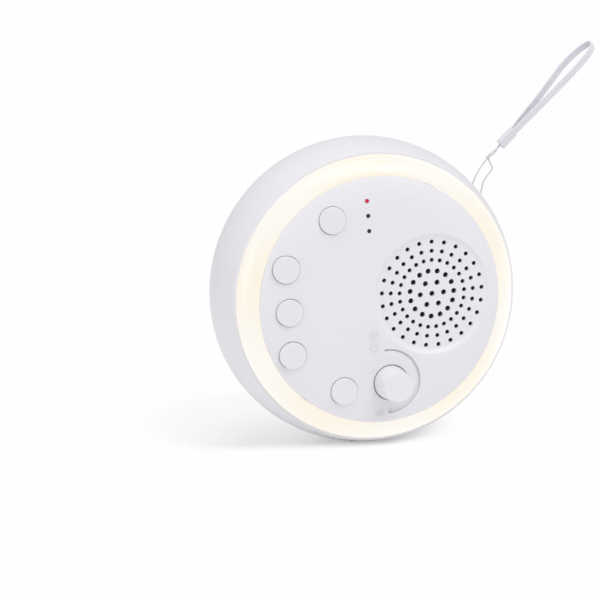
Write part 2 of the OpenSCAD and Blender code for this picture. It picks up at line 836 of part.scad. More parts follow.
module speaker_spider() {
    steps = spider_steps;
    from_r = former_r + former_t + spider_in_gap;
    wave = function(i) spider_y + spider_wave * sin(360 * spider_waves * i / steps);
    reach = function(i) from_r + (spider_r - from_r) * i / steps;
    color("goldenrod") stand()
        turned(spk_x, spk_z) polygon(concat(
            [for (i = [0:steps]) [reach(i), wave(i)]],
            [for (i = [steps:-1:0]) [reach(i), wave(i) + spider_t]]));
}

module speaker_cone() {
    color(C_DARK) stand()
        turned(spk_x, spk_z) polygon([
            [former_r + former_t, neck_y], [cone_r, cone_edge_y],
            [cone_r, cone_edge_y + cone_t], [former_r + former_t, neck_y + cone_t]]);
}

module speaker_dust_cap() {
    base_y = neck_y - cone_t;
    dome_r = (cap_r * cap_r + cap_rise * cap_rise) / (2 * cap_rise);
    half = asin(cap_r / dome_r);
    centre_y = base_y - cap_rise + dome_r;
    color(C_DARK) stand()
        turned(spk_x, spk_z) polygon(concat(
            arc(0, centre_y, dome_r, -90, -90 + half),
            arc(0, centre_y, dome_r - cone_t, -90 + half, -90)));
}

module voice_coil() {
    color(C_COPPER) stand() {
        pipe(spk_x, spk_z, neck_y, winding_end_y + former_past, former_r + former_t, former_r);
        pipe(spk_x, spk_z, winding_from_y, winding_end_y, winding_r, former_r + former_t);
    }
}

module speaker_top_plate() {
    color(C_STEEL) stand() pipe(spk_x, spk_z, frame_back_y, magnet_y, plate_r, plate_in_r);
}

module speaker_magnet() {
    color(C_DARK) stand() pipe(spk_x, spk_z, magnet_y, yoke_y, magnet_r, magnet_in_r);
}

module speaker_yoke() {
    color(C_STEEL) stand() {
        rod(spk_x, spk_z, yoke_y, yoke_y + yoke_t, plate_r, round_fn);
        rod(spk_x, spk_z, frame_back_y, yoke_y, pole_r, round_fn);
    }
}

module speaker_screws() {
    color(C_STEEL) stand()
        ear_places() screw(0, 0, spk_y + flange_t, back_y, small_screw_d, small_head_r, small_head_h);
}

// ---------------------------------------------------------------- main board

module board_places() {
    for (p = BOARD_SCREWS) translate([p[0], 0, p[1]]) children();
}

module main_board() {
    color(C_BOARD) stand()
    difference() {
        rod(0, 0, board_y, board_back_y, board_r, fine_fn);
        rod(spk_x, spk_z, board_y - over, board_back_y + over, board_cut_r, round_fn);
        translate([board_right_x, board_y - over, -body_r])
            cube([body_r, board_t + 2 * over, body_d]);
        post_places() rod(0, 0, board_y - over, board_back_y + over, post_out_r + free_gap);
        board_places() rod(0, 0, board_y - over, board_back_y + over, small_screw_d / 2 + fit_gap);
    }
}

module board_parts() {
    color(C_DARK) stand() {
        for (c = BOARD_CHIPS) block(c[0], c[1], board_back_y, board_back_y + c[4], c[2], c[3]);
        for (c = BOARD_CANS) rod(c[0], c[1], board_back_y, board_back_y + c[3], c[2]);
    }
}

module board_sockets() {
    color(C_HOUSING) stand()
        for (p = [SPK_SOCKET, RING_SOCKET, LINK_SOCKET])
            difference() {
                block(p[0], p[1], board_back_y, board_back_y + socket_h, socket_size[0], socket_size[1]);
                block(p[0], p[1], plug_y, board_back_y + socket_h + over,
                      socket_size[0] - 2 * socket_wall, socket_size[1] - 2 * socket_wall);
            }
}

module board_screws() {
    color(C_STEEL) stand()
        board_places() screw(0, 0, board_back_y, board_back_y - board_screw_l, small_screw_d,
                             small_head_r, small_head_h);
}

module switch_bodies() {
    color(C_DARK) stand()
        for (p = BUTTON_AT)
            difference() {
                block(p[0], p[1], switch_top_y, board_y, switch_size, switch_size);
                rod(p[0], p[1], switch_top_y - over,
                    switch_top_y + plunger_in + button_travel + free_gap, plunger_r + shaft_gap);
            }
}

// ---------------------------------------------------------------- buttons

// A hollow cap with a rounded edge, a stem and a flange that keeps it in, trimmed to the skirt
module button_cap(p) {
    cap_y = face_y - button_proud;
    cap_r = button_d / 2;
    color(C_PANEL) stand()
    difference() {
        union() {
            turned(p[0], p[1]) polygon(concat(
                [[0, cap_y]], arc(cap_r - cap_edge, cap_y + cap_edge, cap_edge, -90, 0, 4),
                [[cap_r, flange_front_y], [0, flange_front_y]]));
            intersection() {
                rod(p[0], p[1], flange_front_y, flange_back_y, cap_r + flange_extra, round_fn);
                rod(0, 0, flange_front_y - over, flange_back_y + over, skirt_in_r - free_gap,
                    fine_fn);
            }
            rod(p[0], p[1], face_y, plunger_top_y, stem_r);
        }
        pipe(p[0], p[1], cap_y + cap_shell, flange_back_y + eps, cap_r - cap_shell, stem_r);
    }
}

module plunger(p) {
    color("gold") stand()
        rod(p[0], p[1], plunger_top_y, switch_top_y + plunger_in, plunger_r);
}

module button_top() { button_cap(BUTTON_AT[0]); }
module button_left_upper() { button_cap(BUTTON_AT[1]); }
module button_left_middle() { button_cap(BUTTON_AT[2]); }
module button_left_lower() { button_cap(BUTTON_AT[3]); }
module button_bottom() { button_cap(BUTTON_AT[4]); }
module plunger_top() { plunger(BUTTON_AT[0]); }
module plunger_left_upper() { plunger(BUTTON_AT[1]); }
module plunger_left_middle() { plunger(BUTTON_AT[2]); }
module plunger_left_lower() { plunger(BUTTON_AT[3]); }
module plunger_bottom() { plunger(BUTTON_AT[4]); }

// ---------------------------------------------------------------- indicators

module light_pipe(z) {
    rod(INDICATOR_X, z, face_y - pipe_proud, board_y - chip_lamp_h - pipe_lamp_gap, pipe_r);
    rod(INDICATOR_X, z, back_y, back_y + pipe_collar_t, pipe_collar_r);
}

module indicator_lamps() {
    color("khaki") stand()
        for (z = INDICATOR_Z)
            block(INDICATOR_X, z, board_y - chip_lamp_h, board_y, chip_lamp_size[0],
                  chip_lamp_size[1]);
}

module indicator_lit() {
    color("crimson") stand() light_pipe(INDICATOR_Z[0]);
}

module indicator_dark() {
    color(C_DARK) stand() for (i = [1:2]) light_pipe(INDICATOR_Z[i]);
}

// ---------------------------------------------------------------- knob

// A round shaft along Y with one flat side, grown by g
module flatted(y0, y1, g) {
    difference() {
        rod(knob_x, knob_z, y0, y1, shaft_r + g, round_fn);
        translate([knob_x + shaft_flat + g, y0 - over, knob_z - shaft_d])
            cube([shaft_d, y1 - y0 + 2 * over, 2 * shaft_d]);
    }
}

module knob() {
    end_r = knob_end_d / 2;
    color(C_HOUSING) stand()
    difference() {
        turned(knob_x, knob_z) polygon(concat(
            [[0, knob_face_y]],
            arc(end_r - knob_edge, knob_face_y + knob_edge, knob_edge, -90, 0, 6),
            [[knob_r, face_y], [knob_r, knob_foot_y], [0, knob_foot_y]]));
        flatted(shaft_tip_y - shaft_end_gap, knob_foot_y + over, grip_gap);
    }
}

module knob_shaft() {
    color(C_STEEL) stand() {
        flatted(shaft_tip_y, knob_foot_y, 0);
        rod(knob_x, knob_z, knob_foot_y, shaft_end_y, shaft_r, round_fn);
    }
}

module potentiometer() {
    color(C_DARK) stand()
    difference() {
        block(knob_x, knob_z, pot_front_y, board_y, pot_size[0], pot_size[1]);
        rod(knob_x, knob_z, pot_front_y - over, shaft_end_y + free_gap, shaft_r + shaft_gap,
            round_fn);
    }
}

// ---------------------------------------------------------------- battery and charging

// A rod along X
module cell_rod(x0, x1, r) {
    translate([x0, cell_y, cell_z]) rotate([0, 90, 0]) cylinder(h = x1 - x0, r = r, $fn = round_fn);
}

module battery_cell() {
    color(C_STEEL) stand() {
        cell_rod(-cell_l / 2, cell_l / 2, cell_r);
        cell_rod(cell_l / 2, cell_l / 2 + nub_h, nub_r);
    }
}

module battery_sleeve() {
    color("steelblue") stand()
    difference() {
        cell_rod(-cell_l / 2, cell_l / 2, cell_r + sleeve_t);
        cell_rod(-cell_l / 2 - over, cell_l / 2 + over, cell_r);
    }
}

module battery_board() {
    from_x = cell_l / 2 + nub_h;
    color(C_BOARD) stand() cell_rod(from_x, from_x + cell_board_t, cell_board_r);
}

module battery_pad() {
    color(C_DARK) stand()
        block(0, cell_z, cell_y + cell_r + sleeve_t, floor_y, 2 * (saddle_x - pad_from_saddle), pad_w);
}

module charge_board() {
    color(C_BOARD) stand()
        translate([-charge_w / 2, charge_y, charge_top_z - charge_t])
            cube([charge_w, floor_y - charge_end_gap - charge_y, charge_t]);
}

// A block standing on the charging board
module on_charge_board(p, size) {
    translate([p[0] - size[0] / 2, p[1] - size[1] / 2, charge_top_z]) cube(size);
}

module charge_parts() {
    color(C_DARK) stand() {
        on_charge_board(CELL_SOCKET, charge_socket);
        on_charge_board(MAIN_SOCKET, charge_socket);
        for (c = CHARGE_CHIPS) on_charge_board(c[0], c[1]);
    }
}

// The socket's oval outline, shrunk by k
module usb_form(y0, y1, k) {
    r = usb_size[2] / 2;
    for (s = [-1, 1]) rod(s * (usb_size[0] / 2 - r), usb_z, y0, y1, r - k);
    block(0, usb_z, y0, y1, usb_size[0] - 2 * r, 2 * (r - k));
}

module usb_shell() {
    color(C_STEEL) stand()
    difference() {
        usb_form(usb_from_y, usb_mouth_y, 0);
        usb_form(usb_from_y + usb_floor_t, usb_mouth_y + over, usb_wall);
    }
}

module usb_tongue() {
    color(C_DARK) stand()
        block(0, usb_z, usb_from_y + usb_floor_t, usb_mouth_y - tongue_back, tongue_size[0],
              tongue_size[1]);
}

// ---------------------------------------------------------------- leads

// Two insulated leads side by side along one route: apart is the direction between them
module lead_pair(route, apart, side) {
    for (s = [-1, 1])
        swept(smooth([for (p = route) p + s * lead_apart * apart], lead_steps), lead_d / 2,
              lead_d / 2, side);
}

module battery_leads() {
    end_x = cell_l / 2 + nub_h + cell_board_t;
    top_z = charge_top_z + charge_socket[2];
    color("firebrick") stand() lead_pair([
        [end_x + lead_gap, cell_y, cell_z - 4], [end_x + 1.4, cell_y, cell_z - 4],
        [end_x + 2.4, cell_y, cell_z - 8], [end_x - 4, cell_y - 2, cell_z - 17],
        [end_x - 16, cell_y - 4, cell_z - 23], [CELL_SOCKET[0] + 3, CELL_SOCKET[1] + 1, top_z + 6],
        [CELL_SOCKET[0], CELL_SOCKET[1], top_z + 3],
        [CELL_SOCKET[0], CELL_SOCKET[1], top_z + lead_gap]],
        [0, 1, 0], [0.05, 1, 0.1]);
}

module link_leads() {
    top_z = charge_top_z + charge_socket[2];
    color("darkorange") stand() lead_pair([
        [MAIN_SOCKET[0], MAIN_SOCKET[1], top_z + lead_gap],
        [MAIN_SOCKET[0], MAIN_SOCKET[1], top_z + 2.5],
        [MAIN_SOCKET[0] - 2, MAIN_SOCKET[1] - 3, top_z + 4.5],
        [LINK_SOCKET[0], plug_y + 9, LINK_SOCKET[1]], [LINK_SOCKET[0], plug_y + 4, LINK_SOCKET[1]],
        [LINK_SOCKET[0], plug_y + lead_gap, LINK_SOCKET[1]]],
        [1, 0, 0], [1, 0.05, 0.02]);
}

module speaker_leads() {
    tab_x = spk_x - frame_neck_r - frame_t;
    color("slateblue") stand() lead_pair([
        [tab_x, spider_y + 1.4, spk_z], [tab_x - 1.5, spider_y + 2, spk_z],
        [tab_x - 4, spider_y + 7, spk_z], [SPK_SOCKET[0] + 3, plug_y + 8, SPK_SOCKET[1]],
        [SPK_SOCKET[0], plug_y + 4, SPK_SOCKET[1]],
        [SPK_SOCKET[0], plug_y + lead_gap, SPK_SOCKET[1]]],
        [0, 0, 1], [0.02, 0.05, 1]);
}

module ring_leads() {
    pad_y = seat_y + ring_board_t;
    edge = [-skirt_in_r - ring_pad_out, pad_y, RING_SOCKET[1]];
    color("olive") stand() lead_pair([
        edge + [0, lead_gap, 0], edge + [0, 3, 0], edge + [1.6, 6.5, 0], edge + [6, 9.5, 0],
        [RING_SOCKET[0] - 1, plug_y + 6.5, RING_SOCKET[1]],
        [RING_SOCKET[0], plug_y + 3, RING_SOCKET[1]],
        [RING_SOCKET[0], plug_y + lead_gap, RING_SOCKET[1]]],
        [0, 0, 1], [0.05, 0.1, 1]);
}

// ---------------------------------------------------------------- strap

module strap_string() {
    route = [for (i = [0:last(STRING)]) [STRING[i][0], strap_y + STRING_BACK[i], STRING[i][1]]];
    color(C_STRAP) stand()
        swept(smooth(route, strap_steps), string_d / 2, string_d / 2, [0, 1, 0]);
}

module strap_knot() {
    color(C_STRAP) stand() translate([knot_at[0], strap_y, knot_at[1]]) sphere(r = knot_r, $fn = small_fn);
}

module strap_sleeve() {
    along = SLEEVE_TO - SLEEVE_FROM;
    tilt = atan2(along[1], along[0]);
    color(C_STRAP) stand()
        translate([SLEEVE_FROM[0], strap_y, SLEEVE_FROM[1]]) rotate([0, -tilt, 0])
            rotate([-loop_turn, 0, 0]) rotate([90, 0, 90]) linear_extrude(norm(along))
                offset(sleeve_edge, $fn = small_fn)
                    square([sleeve_w - 2 * sleeve_edge, sleeve_depth - 2 * sleeve_edge], center = true);
}

module strap_webbing() {
    along = unit(SLEEVE_TO - SLEEVE_FROM);
    right = [along[1], 0, -along[0]];
    back = [0, 1, 0];
    start = [SLEEVE_TO[0], strap_y, SLEEVE_TO[1]];
    across = cos(loop_turn) * right - sin(loop_turn) * back;
    route = [for (p = LOOP) start + p[0] * [along[0], 0, along[1]] + p[1] * across];
    color(C_STRAP) stand()
        swept(smooth(route, strap_steps), web_t / 2, web_w / 2,
              sin(loop_turn) * right + cos(loop_turn) * back);
}

rear_housing();
base_foot();
rear_feet();
housing_screws();
light_ring();
ring_board();
ring_lamps();
front_panel();
speaker_cloth();
speaker_gasket();
speaker_frame();
speaker_surround();
speaker_spider();
speaker_cone();
speaker_dust_cap();
voice_coil();
speaker_top_plate();
speaker_magnet();
speaker_yoke();
speaker_screws();
main_board();
board_parts();
board_sockets();
board_screws();
switch_bodies();
button_top();
button_left_upper();
button_left_middle();
button_left_lower();
button_bottom();
plunger_top();
plunger_left_upper();
plunger_left_middle();
plunger_left_lower();
plunger_bottom();
indicator_lamps();
indicator_lit();
indicator_dark();
knob();
knob_shaft();
potentiometer();
battery_cell();
battery_sleeve();
battery_board();
battery_pad();
charge_board();
charge_parts();
usb_shell();
usb_tongue();
battery_leads();
link_leads();
speaker_leads();
ring_leads();
strap_string();
strap_knot();
strap_sleeve();
strap_webbing();
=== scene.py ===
import math

import bpy
from mathutils import Matrix, Vector


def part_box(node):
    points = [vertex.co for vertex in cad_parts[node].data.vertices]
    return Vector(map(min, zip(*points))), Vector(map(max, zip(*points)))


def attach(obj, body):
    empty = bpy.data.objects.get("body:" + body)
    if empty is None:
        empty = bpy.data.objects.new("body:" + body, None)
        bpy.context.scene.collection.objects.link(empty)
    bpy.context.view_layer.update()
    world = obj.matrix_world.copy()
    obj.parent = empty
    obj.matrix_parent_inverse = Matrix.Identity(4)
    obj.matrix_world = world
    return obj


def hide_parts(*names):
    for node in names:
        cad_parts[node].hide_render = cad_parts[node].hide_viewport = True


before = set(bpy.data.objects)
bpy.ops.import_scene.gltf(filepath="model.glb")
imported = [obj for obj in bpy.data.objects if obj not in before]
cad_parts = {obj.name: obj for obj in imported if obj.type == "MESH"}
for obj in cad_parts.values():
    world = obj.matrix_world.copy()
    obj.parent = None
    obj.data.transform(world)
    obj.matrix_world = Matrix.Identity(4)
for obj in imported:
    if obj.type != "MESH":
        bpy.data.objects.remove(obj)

bl_info = {
    "name": "White Noise Sound Machine",
    "version": (1, 0, 0),
    "blender": (4, 5, 0),
    "location": "3D View > Sidebar > Sound Machine",
    "description": "Builds the surfaces and finishes of a round portable white noise sound machine",
    "category": "Object",
}

MM = 0.001

# ------------------------------------------------------------------ places and sizes from the frame

ROOT = "body"


def box_middle(node):
    low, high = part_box(node)
    return (low + high) / 2


def half_width(node):
    low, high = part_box(node)
    return (high.x - low.x) / 2


LIP_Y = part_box("rear_housing")[0].y
AXIS_Z = box_middle("light_ring").z
BODY_R = half_width("rear_housing")
BODY_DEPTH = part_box("rear_housing")[1].y - LIP_Y
FLAT_Z = AXIS_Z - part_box("rear_housing")[0].z
RING_R = half_width("light_ring")
RING_RISE = LIP_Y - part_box("light_ring")[0].y
RING_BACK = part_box("light_ring")[1].y - LIP_Y
PANEL_R = half_width("front_panel")
KNOB_AT = box_middle("knob")
SPEAKER_AT = box_middle("speaker_magnet")
BUTTONS = ["top", "left_upper", "left_middle", "left_lower", "bottom"]


def at(x, y, z):
    """A point right of the housing's axis, behind its lip and above its axis, in the row frame."""
    return Vector((x, LIP_Y + y, AXIS_Z + z))


def aside(point):
    """How far a point of the row frame lies right of and above the housing's axis."""
    return point.x, point.z - AXIS_Z


# ------------------------------------------------------------------ settings


def linear(hex_colour):
    """An sRGB hex colour as linear red, green, blue and alpha."""
    channels = [int(hex_colour[i:i + 2], 16) / 255 for i in (1, 3, 5)]
    return tuple(c / 12.92 if c <= 0.04045 else ((c + 0.055) / 1.055) ** 2.4
                 for c in channels) + (1.0,)


def size(name, description, millimetres):
    return bpy.props.FloatProperty(name=name, description=description, default=millimetres * MM,
                                   unit="LENGTH", subtype="DISTANCE", precision=5)


def colour(name, description, hex_colour):
    return bpy.props.FloatVectorProperty(name=name, description=description, size=4, min=0, max=1,
                                         default=linear(hex_colour), subtype="COLOR")


def angle(name, description, degrees):
    return bpy.props.FloatProperty(name=name, description=description,
                                   default=math.radians(degrees), subtype="ANGLE")


def number(name, description, value):
    return bpy.props.FloatProperty(name=name, description=description, default=value, precision=4)


class StageSettings(bpy.types.PropertyGroup):
    azimuth: angle("Azimuth", "How far the camera stands to the left of the panel's front", 15.025)
    elevation: angle("Elevation", "How far the camera looks down", 11.512)
    roll: angle("Roll", "How far the picture is turned", 4.380)
    lens: number("Lens", "Focal length in millimetres, on a 36 mm sensor", 180)
    key_strength: number("Key light", "Power of the key light in watts", 5.0)
    fill_strength: number("Fill light", "Strength of the sky on the object", 0.62)
    floor: colour("Floor", "Colour of the floor", "#F7F7F7")
    backdrop: colour("Backdrop", "Colour behind the floor", "#FEFEFE")


class HousingSettings(bpy.types.PropertyGroup):
    wall: size("Wall", "Thickness of the housing's wall", 2.2)
    lip_w: size("Lip", "Width of the bare lip around the light ring", 0.8)
    belly_y: size("Belly", "Distance behind the lip at which the housing is widest", 18)
    back_round: size("Rear edge", "Radius of the rounded rear edge", 21)
    post_r: size("Screw circle", "Distance of the screws from the middle", 35.4)
    bore_r: size("Screw bore", "Radius of the deep bore over a screw's head", 2.9)
    edge: size("Edges", "Width of the small rounding on a hole's edge", 0.25)
    plastic: colour("Plastic", "Colour of the housing", "#E4E3E8")
    rubber: colour("Rubber", "Colour of the feet", "#C2C3C6")


class RingSettings(bpy.types.PropertyGroup):
    width: size("Width", "Width of the ring, seen from the front", 6.5)
    bulge: size("Bulge", "Bulge of the ring's face over a straight cone", 1.3)
    wall: size("Wall", "Thickness of the diffuser", 1.6)
    clear: colour("Clear glow", "Colour of the light between the lamps", "#FFFDF9")
    warm: colour("Warm glow", "Colour of the light near the lamps", "#FFF7E7")
    strength: number("Glow", "Strength of the ring's own light", 0.77)
    body: number("Body", "How much of the light from outside the diffuser throws back", 0.17)


class PanelSettings(bpy.types.PropertyGroup):
    crown: size("Crown", "Height of the flat middle above the panel's edge", 1.5)
    flat_r: size("Flat", "Radius of the flat middle", 32)
    thickness: size("Thickness", "Thickness of the panel", 2)
    skirt: size("Skirt", "Thickness of the panel's skirt", 1)
    edge: size("Edges", "Width of the small rounding on edges and holes", 0.15)
    dish_r: size("Recess", "Radius of the recess around the sound holes", 21)
    dish_wall: size("Recess wall", "Width of the sloping wall of the recess", 2.4)
    dish_depth: size("Recess depth", "Depth of the recess", 0.9)
    groove_r: size("Groove", "Radius of the crescent groove's outer edge", 11.1)
    groove_in_r: size("Groove, inside", "Radius of the crescent groove's inner edge", 9.85)
    groove_depth: size("Groove depth", "Depth of the crescent groove", 0.8)
    mark_h: size("Marks", "Height of the raised sun marks", 0.12)
    plastic: colour("Plastic", "Colour of the panel", "#E4E3E8")
    # The groove's colour is darker than the panel's: painted shade in the groove's recess
    groove: colour("Groove", "Colour of the crescent groove", "#D0CFD5")
    marks: colour("Marks", "Colour of the sun marks", "#D6D5DB")


class ButtonSettings(bpy.types.PropertyGroup):
    diameter: size("Diameter", "Diameter of a button cap", 9.2)
    gap: size("Gap", "Gap round a cap", 0.15)
    shell: size("Shell", "Thickness of a cap", 1.2)
    edge: size("Edge", "Radius of a cap's edge", 0.3)
    flange: size("Flange", "How far the flange reaches past the cap", 0.9)
    plastic: colour("Plastic", "Colour of the caps", "#E3E2E7")


class KnobSettings(bpy.types.PropertyGroup):
    end_d: size("End diameter", "Diameter of the knob's end face", 10.2)
    foot_d: size("Foot diameter", "Diameter of the knob at the panel", 11.7)
    gap: size("Gap", "Gap round the knob", 0.25)
    edge: size("Edge", "Radius of the rounded edge of the end face", 0.35)
    shaft_d: size("Shaft", "Diameter of the shaft", 6)
    plastic: colour("Plastic", "Colour of the knob", "#E4E3E8")


class StrapSettings(bpy.types.PropertyGroup):
    depth: size("Depth", "Distance of the strap behind the housing's lip", 20)
    string_d: size("String", "Diameter of the string", 0.5)
    web_w: size("Webbing width", "Width of the webbing", 3.1)
    web_t: size("Webbing thickness", "Thickness of the webbing", 0.5)
    sleeve_w: size("Sleeve width", "Width of the sleeve", 4.3)
    sleeve_depth: size("Sleeve depth", "Depth of the sleeve", 1.65)
    loop_turn: angle("Loop's turn", "How far the loop's plane is turned about the strap's length", 60)
    string: colour("String", "Colour of the string", "#D2D2D8")
    webbing: colour("Webbing", "Colour of the webbing", "#DEDEE5")
    sleeve: colour("Sleeve", "Colour of the sleeve", "#DCDBE3")


class SoundMachineSettings(bpy.types.PropertyGroup):
    stage: bpy.props.PointerProperty(type=StageSettings)
    housing: bpy.props.PointerProperty(type=HousingSettings)
    ring: bpy.props.PointerProperty(type=RingSettings)
    panel: bpy.props.PointerProperty(type=PanelSettings)
    buttons: bpy.props.PointerProperty(type=ButtonSettings)
    knob: bpy.props.PointerProperty(type=KnobSettings)
    strap: bpy.props.PointerProperty(type=StrapSettings)


def settings():
    return bpy.context.scene.sound_machine


# ------------------------------------------------------------------ modelling

# Sides of the circles that shapes start from
RING_SIDES = 256
ROUND_SIDES = 192
GROOVE_SIDES = 160
KNOB_SIDES = 128
CAP_SIDES = 96
SHAFT_SIDES = 64
SMALL_SIDES = 48
PIPE_SIDES = 24
SOUND_SIDES = 20
# How far a cutting shape reaches past what it cuts
OVER = 1 * MM
MERGE = 0.001 * MM
SMOOTH_ANGLE = math.radians(32)


def deselect():
    """Leaves edit mode with nothing selected."""
    if bpy.context.mode != "OBJECT":
        bpy.ops.object.mode_set(mode="OBJECT")
    bpy.ops.object.select_all(action="DESELECT")


def choose(piece):
    """Makes a piece the one selected and active object."""
    deselect()
    piece.select_set(True)
    bpy.context.view_layer.objects.active = piece
    return piece


def settle(piece, name):
    """Leaves edit mode, names a piece and puts its place, turn and size into its mesh."""
    choose(piece)
    piece.name = name
    piece.data.name = name
    bpy.ops.object.transform_apply(location=True, rotation=True, scale=True)
    return piece


def open_up(piece):
    """Opens a piece for editing, with all of it selected."""
    choose(piece)
    bpy.ops.object.mode_set(mode="EDIT")
    bpy.ops.mesh.select_all(action="SELECT")


def arc(centre_r, centre_y, radius, start, end, steps):
    """Points of an arc in radius and depth, from one angle in degrees to another."""
    turns = [math.radians(start + (end - start) * i / steps) for i in range(steps + 1)]
    return [(centre_r + radius * math.cos(t), centre_y + radius * math.sin(t)) for t in turns]


def turned(name, profile, x=0.0, z=0.0, sides=ROUND_SIDES, loop=False):
    """A round shape about an axis along the depth: a circle, extruded and scaled from ring to ring
    through points of radius and depth. A loop closes on its first ring; other ends are filled."""
    deselect()
    radius, depth = profile[0]
    bpy.ops.mesh.primitive_circle_add(vertices=sides, radius=radius, location=at(x, depth, z),
                                      rotation=(math.radians(90), 0, 0), enter_editmode=True)
    for next_radius, next_depth in profile[1:]:
        bpy.ops.mesh.extrude_edges_move(TRANSFORM_OT_translate={"value": (0, next_depth - depth, 0)})
        share = next_radius / radius
        bpy.ops.transform.resize(value=(share, share, share), center_override=at(x, next_depth, z))
        radius, depth = next_radius, next_depth
    bpy.ops.mesh.select_all(action="SELECT")
    if loop:
        bpy.ops.mesh.remove_doubles(threshold=MERGE)
    else:
        bpy.ops.mesh.fill_holes(sides=0)
    bpy.ops.mesh.normals_make_consistent(inside=False)
    return settle(bpy.context.active_object, name)


def started(name, primitive, **values):
    """A piece started from one of Blender's primitives."""
    deselect()
    primitive(**values)
    return settle(bpy.context.active_object, name)


def block(name, low, high):
    """A block between two corners of the row frame."""
    low, high = Vector(low), Vector(high)
    return started(name, bpy.ops.mesh.primitive_cube_add, size=1, location=(low + high) / 2,
                   scale=high - low)


def modified(piece, kind, **values):
    """Adds a modifier with its settings to a piece and applies it."""
    choose(piece)
    bpy.ops.object.modifier_add(type=kind)
    modifier = piece.modifiers[-1]
    for key, value in values.items():
        setattr(modifier, key, value)
    bpy.ops.object.modifier_apply(modifier=modifier.name)
    return piece


def combine(piece, other, operation):
    """Cuts, joins or trims a piece with another shape, which is then gone."""
    modified(piece, "BOOLEAN", operation=operation, solver="EXACT", object=other)
    bpy.data.objects.remove(other)
    return piece


def copied(shape, moved):
    """A copy of a shape with a mesh of its own, moved by a matrix."""
    copy = shape.copy()
    copy.data = shape.data.copy()
    copy.data.transform(moved)
    bpy.context.scene.collection.objects.link(copy)
    return copy


def turned_about(x, z, turn):
    """A turn about an axis along the depth, right of and above the housing's axis."""
    middle = Matrix.Translation(at(x, 0, z))
    return middle @ Matrix.Rotation(turn, 4, "Y") @ middle.inverted()


def places_round(turns, reach, x=0.0, z=0.0):
    """Points on a circle about a middle, at turns in degrees."""
    return [(x + reach * math.cos(math.radians(turn)), z + reach * math.sin(math.radians(turn)))
            for turn in turns]


def gathered(shapes):
    """Several shapes as one."""
    deselect()
    for shape in shapes:
        shape.select_set(True)
    bpy.context.view_layer.objects.active = shapes[0]
    if len(shapes) > 1:
        bpy.ops.object.join()
    return shapes[0]


def smoothed(piece, limit=SMOOTH_ANGLE):
    """Smooth shading with crisp edges, in which the large flat faces keep their shade."""
    choose(piece)
    bpy.ops.object.shade_smooth_by_angle(angle=limit)
    return modified(piece, "WEIGHTED_NORMAL", keep_sharp=True)


def bevelled(piece, width, segments=3):
    """Rounds a piece's sharp edges."""
    return modified(piece, "BEVEL", width=width, segments=segments, limit_method="ANGLE",
                    angle_limit=SMOOTH_ANGLE, harden_normals=False)


def hole_form(name, x, z, radius, front, back, edge, mouth, sides=SMALL_SIDES):
    """What a round hole takes away, from front to back, with a flare of the edge's width at the
    mouth, which lies behind the front."""
    return turned(name, [(radius + edge, front), (radius + edge, mouth), (radius, mouth + edge),
                         (radius, back)], x, z, sides)


def finished(piece, body, slot, finish, *nodes):
    """Gives a piece its finish and body, and lets it stand for its nodes."""
    piece.data.materials.clear()
    piece.data.materials.append(finish)
    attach(piece, body)
    if nodes:
        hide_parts(*nodes)
    return piece


def finish_nodes(finish, *names):
    """Gives nodes that keep their shape their finish."""
    for name in names:
        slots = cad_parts[name].data.materials
        slots.clear()
        slots.append(finish)


# ------------------------------------------------------------------ materials


def put(tree, node, inputs):
    """Sets a node's inputs, or links them to a socket or to another node's first output."""
    for socket, value in inputs.items():
        if isinstance(value, bpy.types.Node):
            value = value.outputs[0]
        if isinstance(value, bpy.types.NodeSocket):
            tree.links.new(value, node.inputs[socket])
        else:
            node.inputs[socket].default_value = value


def add(tree, kind, inputs=None, **set_values):
    """Adds a shader node with its settings, and sets or links its inputs."""
    made = tree.nodes.new("ShaderNode" + kind)
    for key, value in set_values.items():
        setattr(made, key, value)
    put(tree, made, inputs or {})
    return made


def new_finish(name):
    """An empty material with its output, its shader and object coordinates."""
    material = bpy.data.materials.new(name)
    material.use_nodes = True
    tree = material.node_tree
    tree.nodes.clear()
    shader = add(tree, "BsdfPrincipled")
    add(tree, "OutputMaterial", {"Surface": shader})
    place = add(tree, "TexCoord").outputs["Object"]
    return material, tree, shader, place


def per_metre(millimetres):
    """A texture's scale for a feature of that size."""
    return 1 / (millimetres * MM)


def tint(rgba, amount):
    """A colour made lighter or darker by a factor."""
    return tuple(min(1.0, c * amount) for c in rgba[:3]) + (1.0,)


def patterned(tree, shader, fac, rgba, low, high, relief=0.0, depth=0.0):
    """Lets a pattern carry a shader's colour between two tints and, where it has relief, raise the
    surface by a depth in millimetres."""
    mixed = add(tree, "Mix", {"Factor": fac, 6: tint(rgba, low), 7: tint(rgba, high)},
                data_type="RGBA")
    put(tree, shader, {"Base Color": mixed.outputs[2]})
    if relief:
        bump = add(tree, "Bump", {"Height": fac, "Strength": relief, "Distance": depth * MM})
        put(tree, shader, {"Normal": bump})


def spark_eroded_abs(name, rgba, roughness=0.42):
    """ABS from a spark-eroded mould: a satin white whose fine grain breaks up the gloss."""
    material, tree, shader, place = new_finish(name)
    # The grain is 0.05 mm on the real mould, and drawn at 0.35 mm so that it shows
    grain = add(tree, "TexNoise", {"Vector": place, "Scale": per_metre(0.35), "Detail": 3.0})
    cloud = add(tree, "TexNoise", {"Vector": place, "Scale": per_metre(28), "Detail": 2.0})
    patterned(tree, shader, cloud, rgba, 0.985, 1.015)
    gloss = add(tree, "MapRange", {"Value": grain,
                                   "To Min": roughness - 0.05, "To Max": roughness + 0.06})
    bump = add(tree, "Bump", {"Height": grain, "Strength": 0.12, "Distance": 0.01 * MM})
    put(tree, shader, {"Roughness": gloss, "Normal": bump, "IOR": 1.54})
    return material


# The lamps behind the ring stand in even groups: their count, and the turn of the first one from the
# ring's right-hand side
WARM_GROUPS = 5
WARM_TURN = math.radians(22)
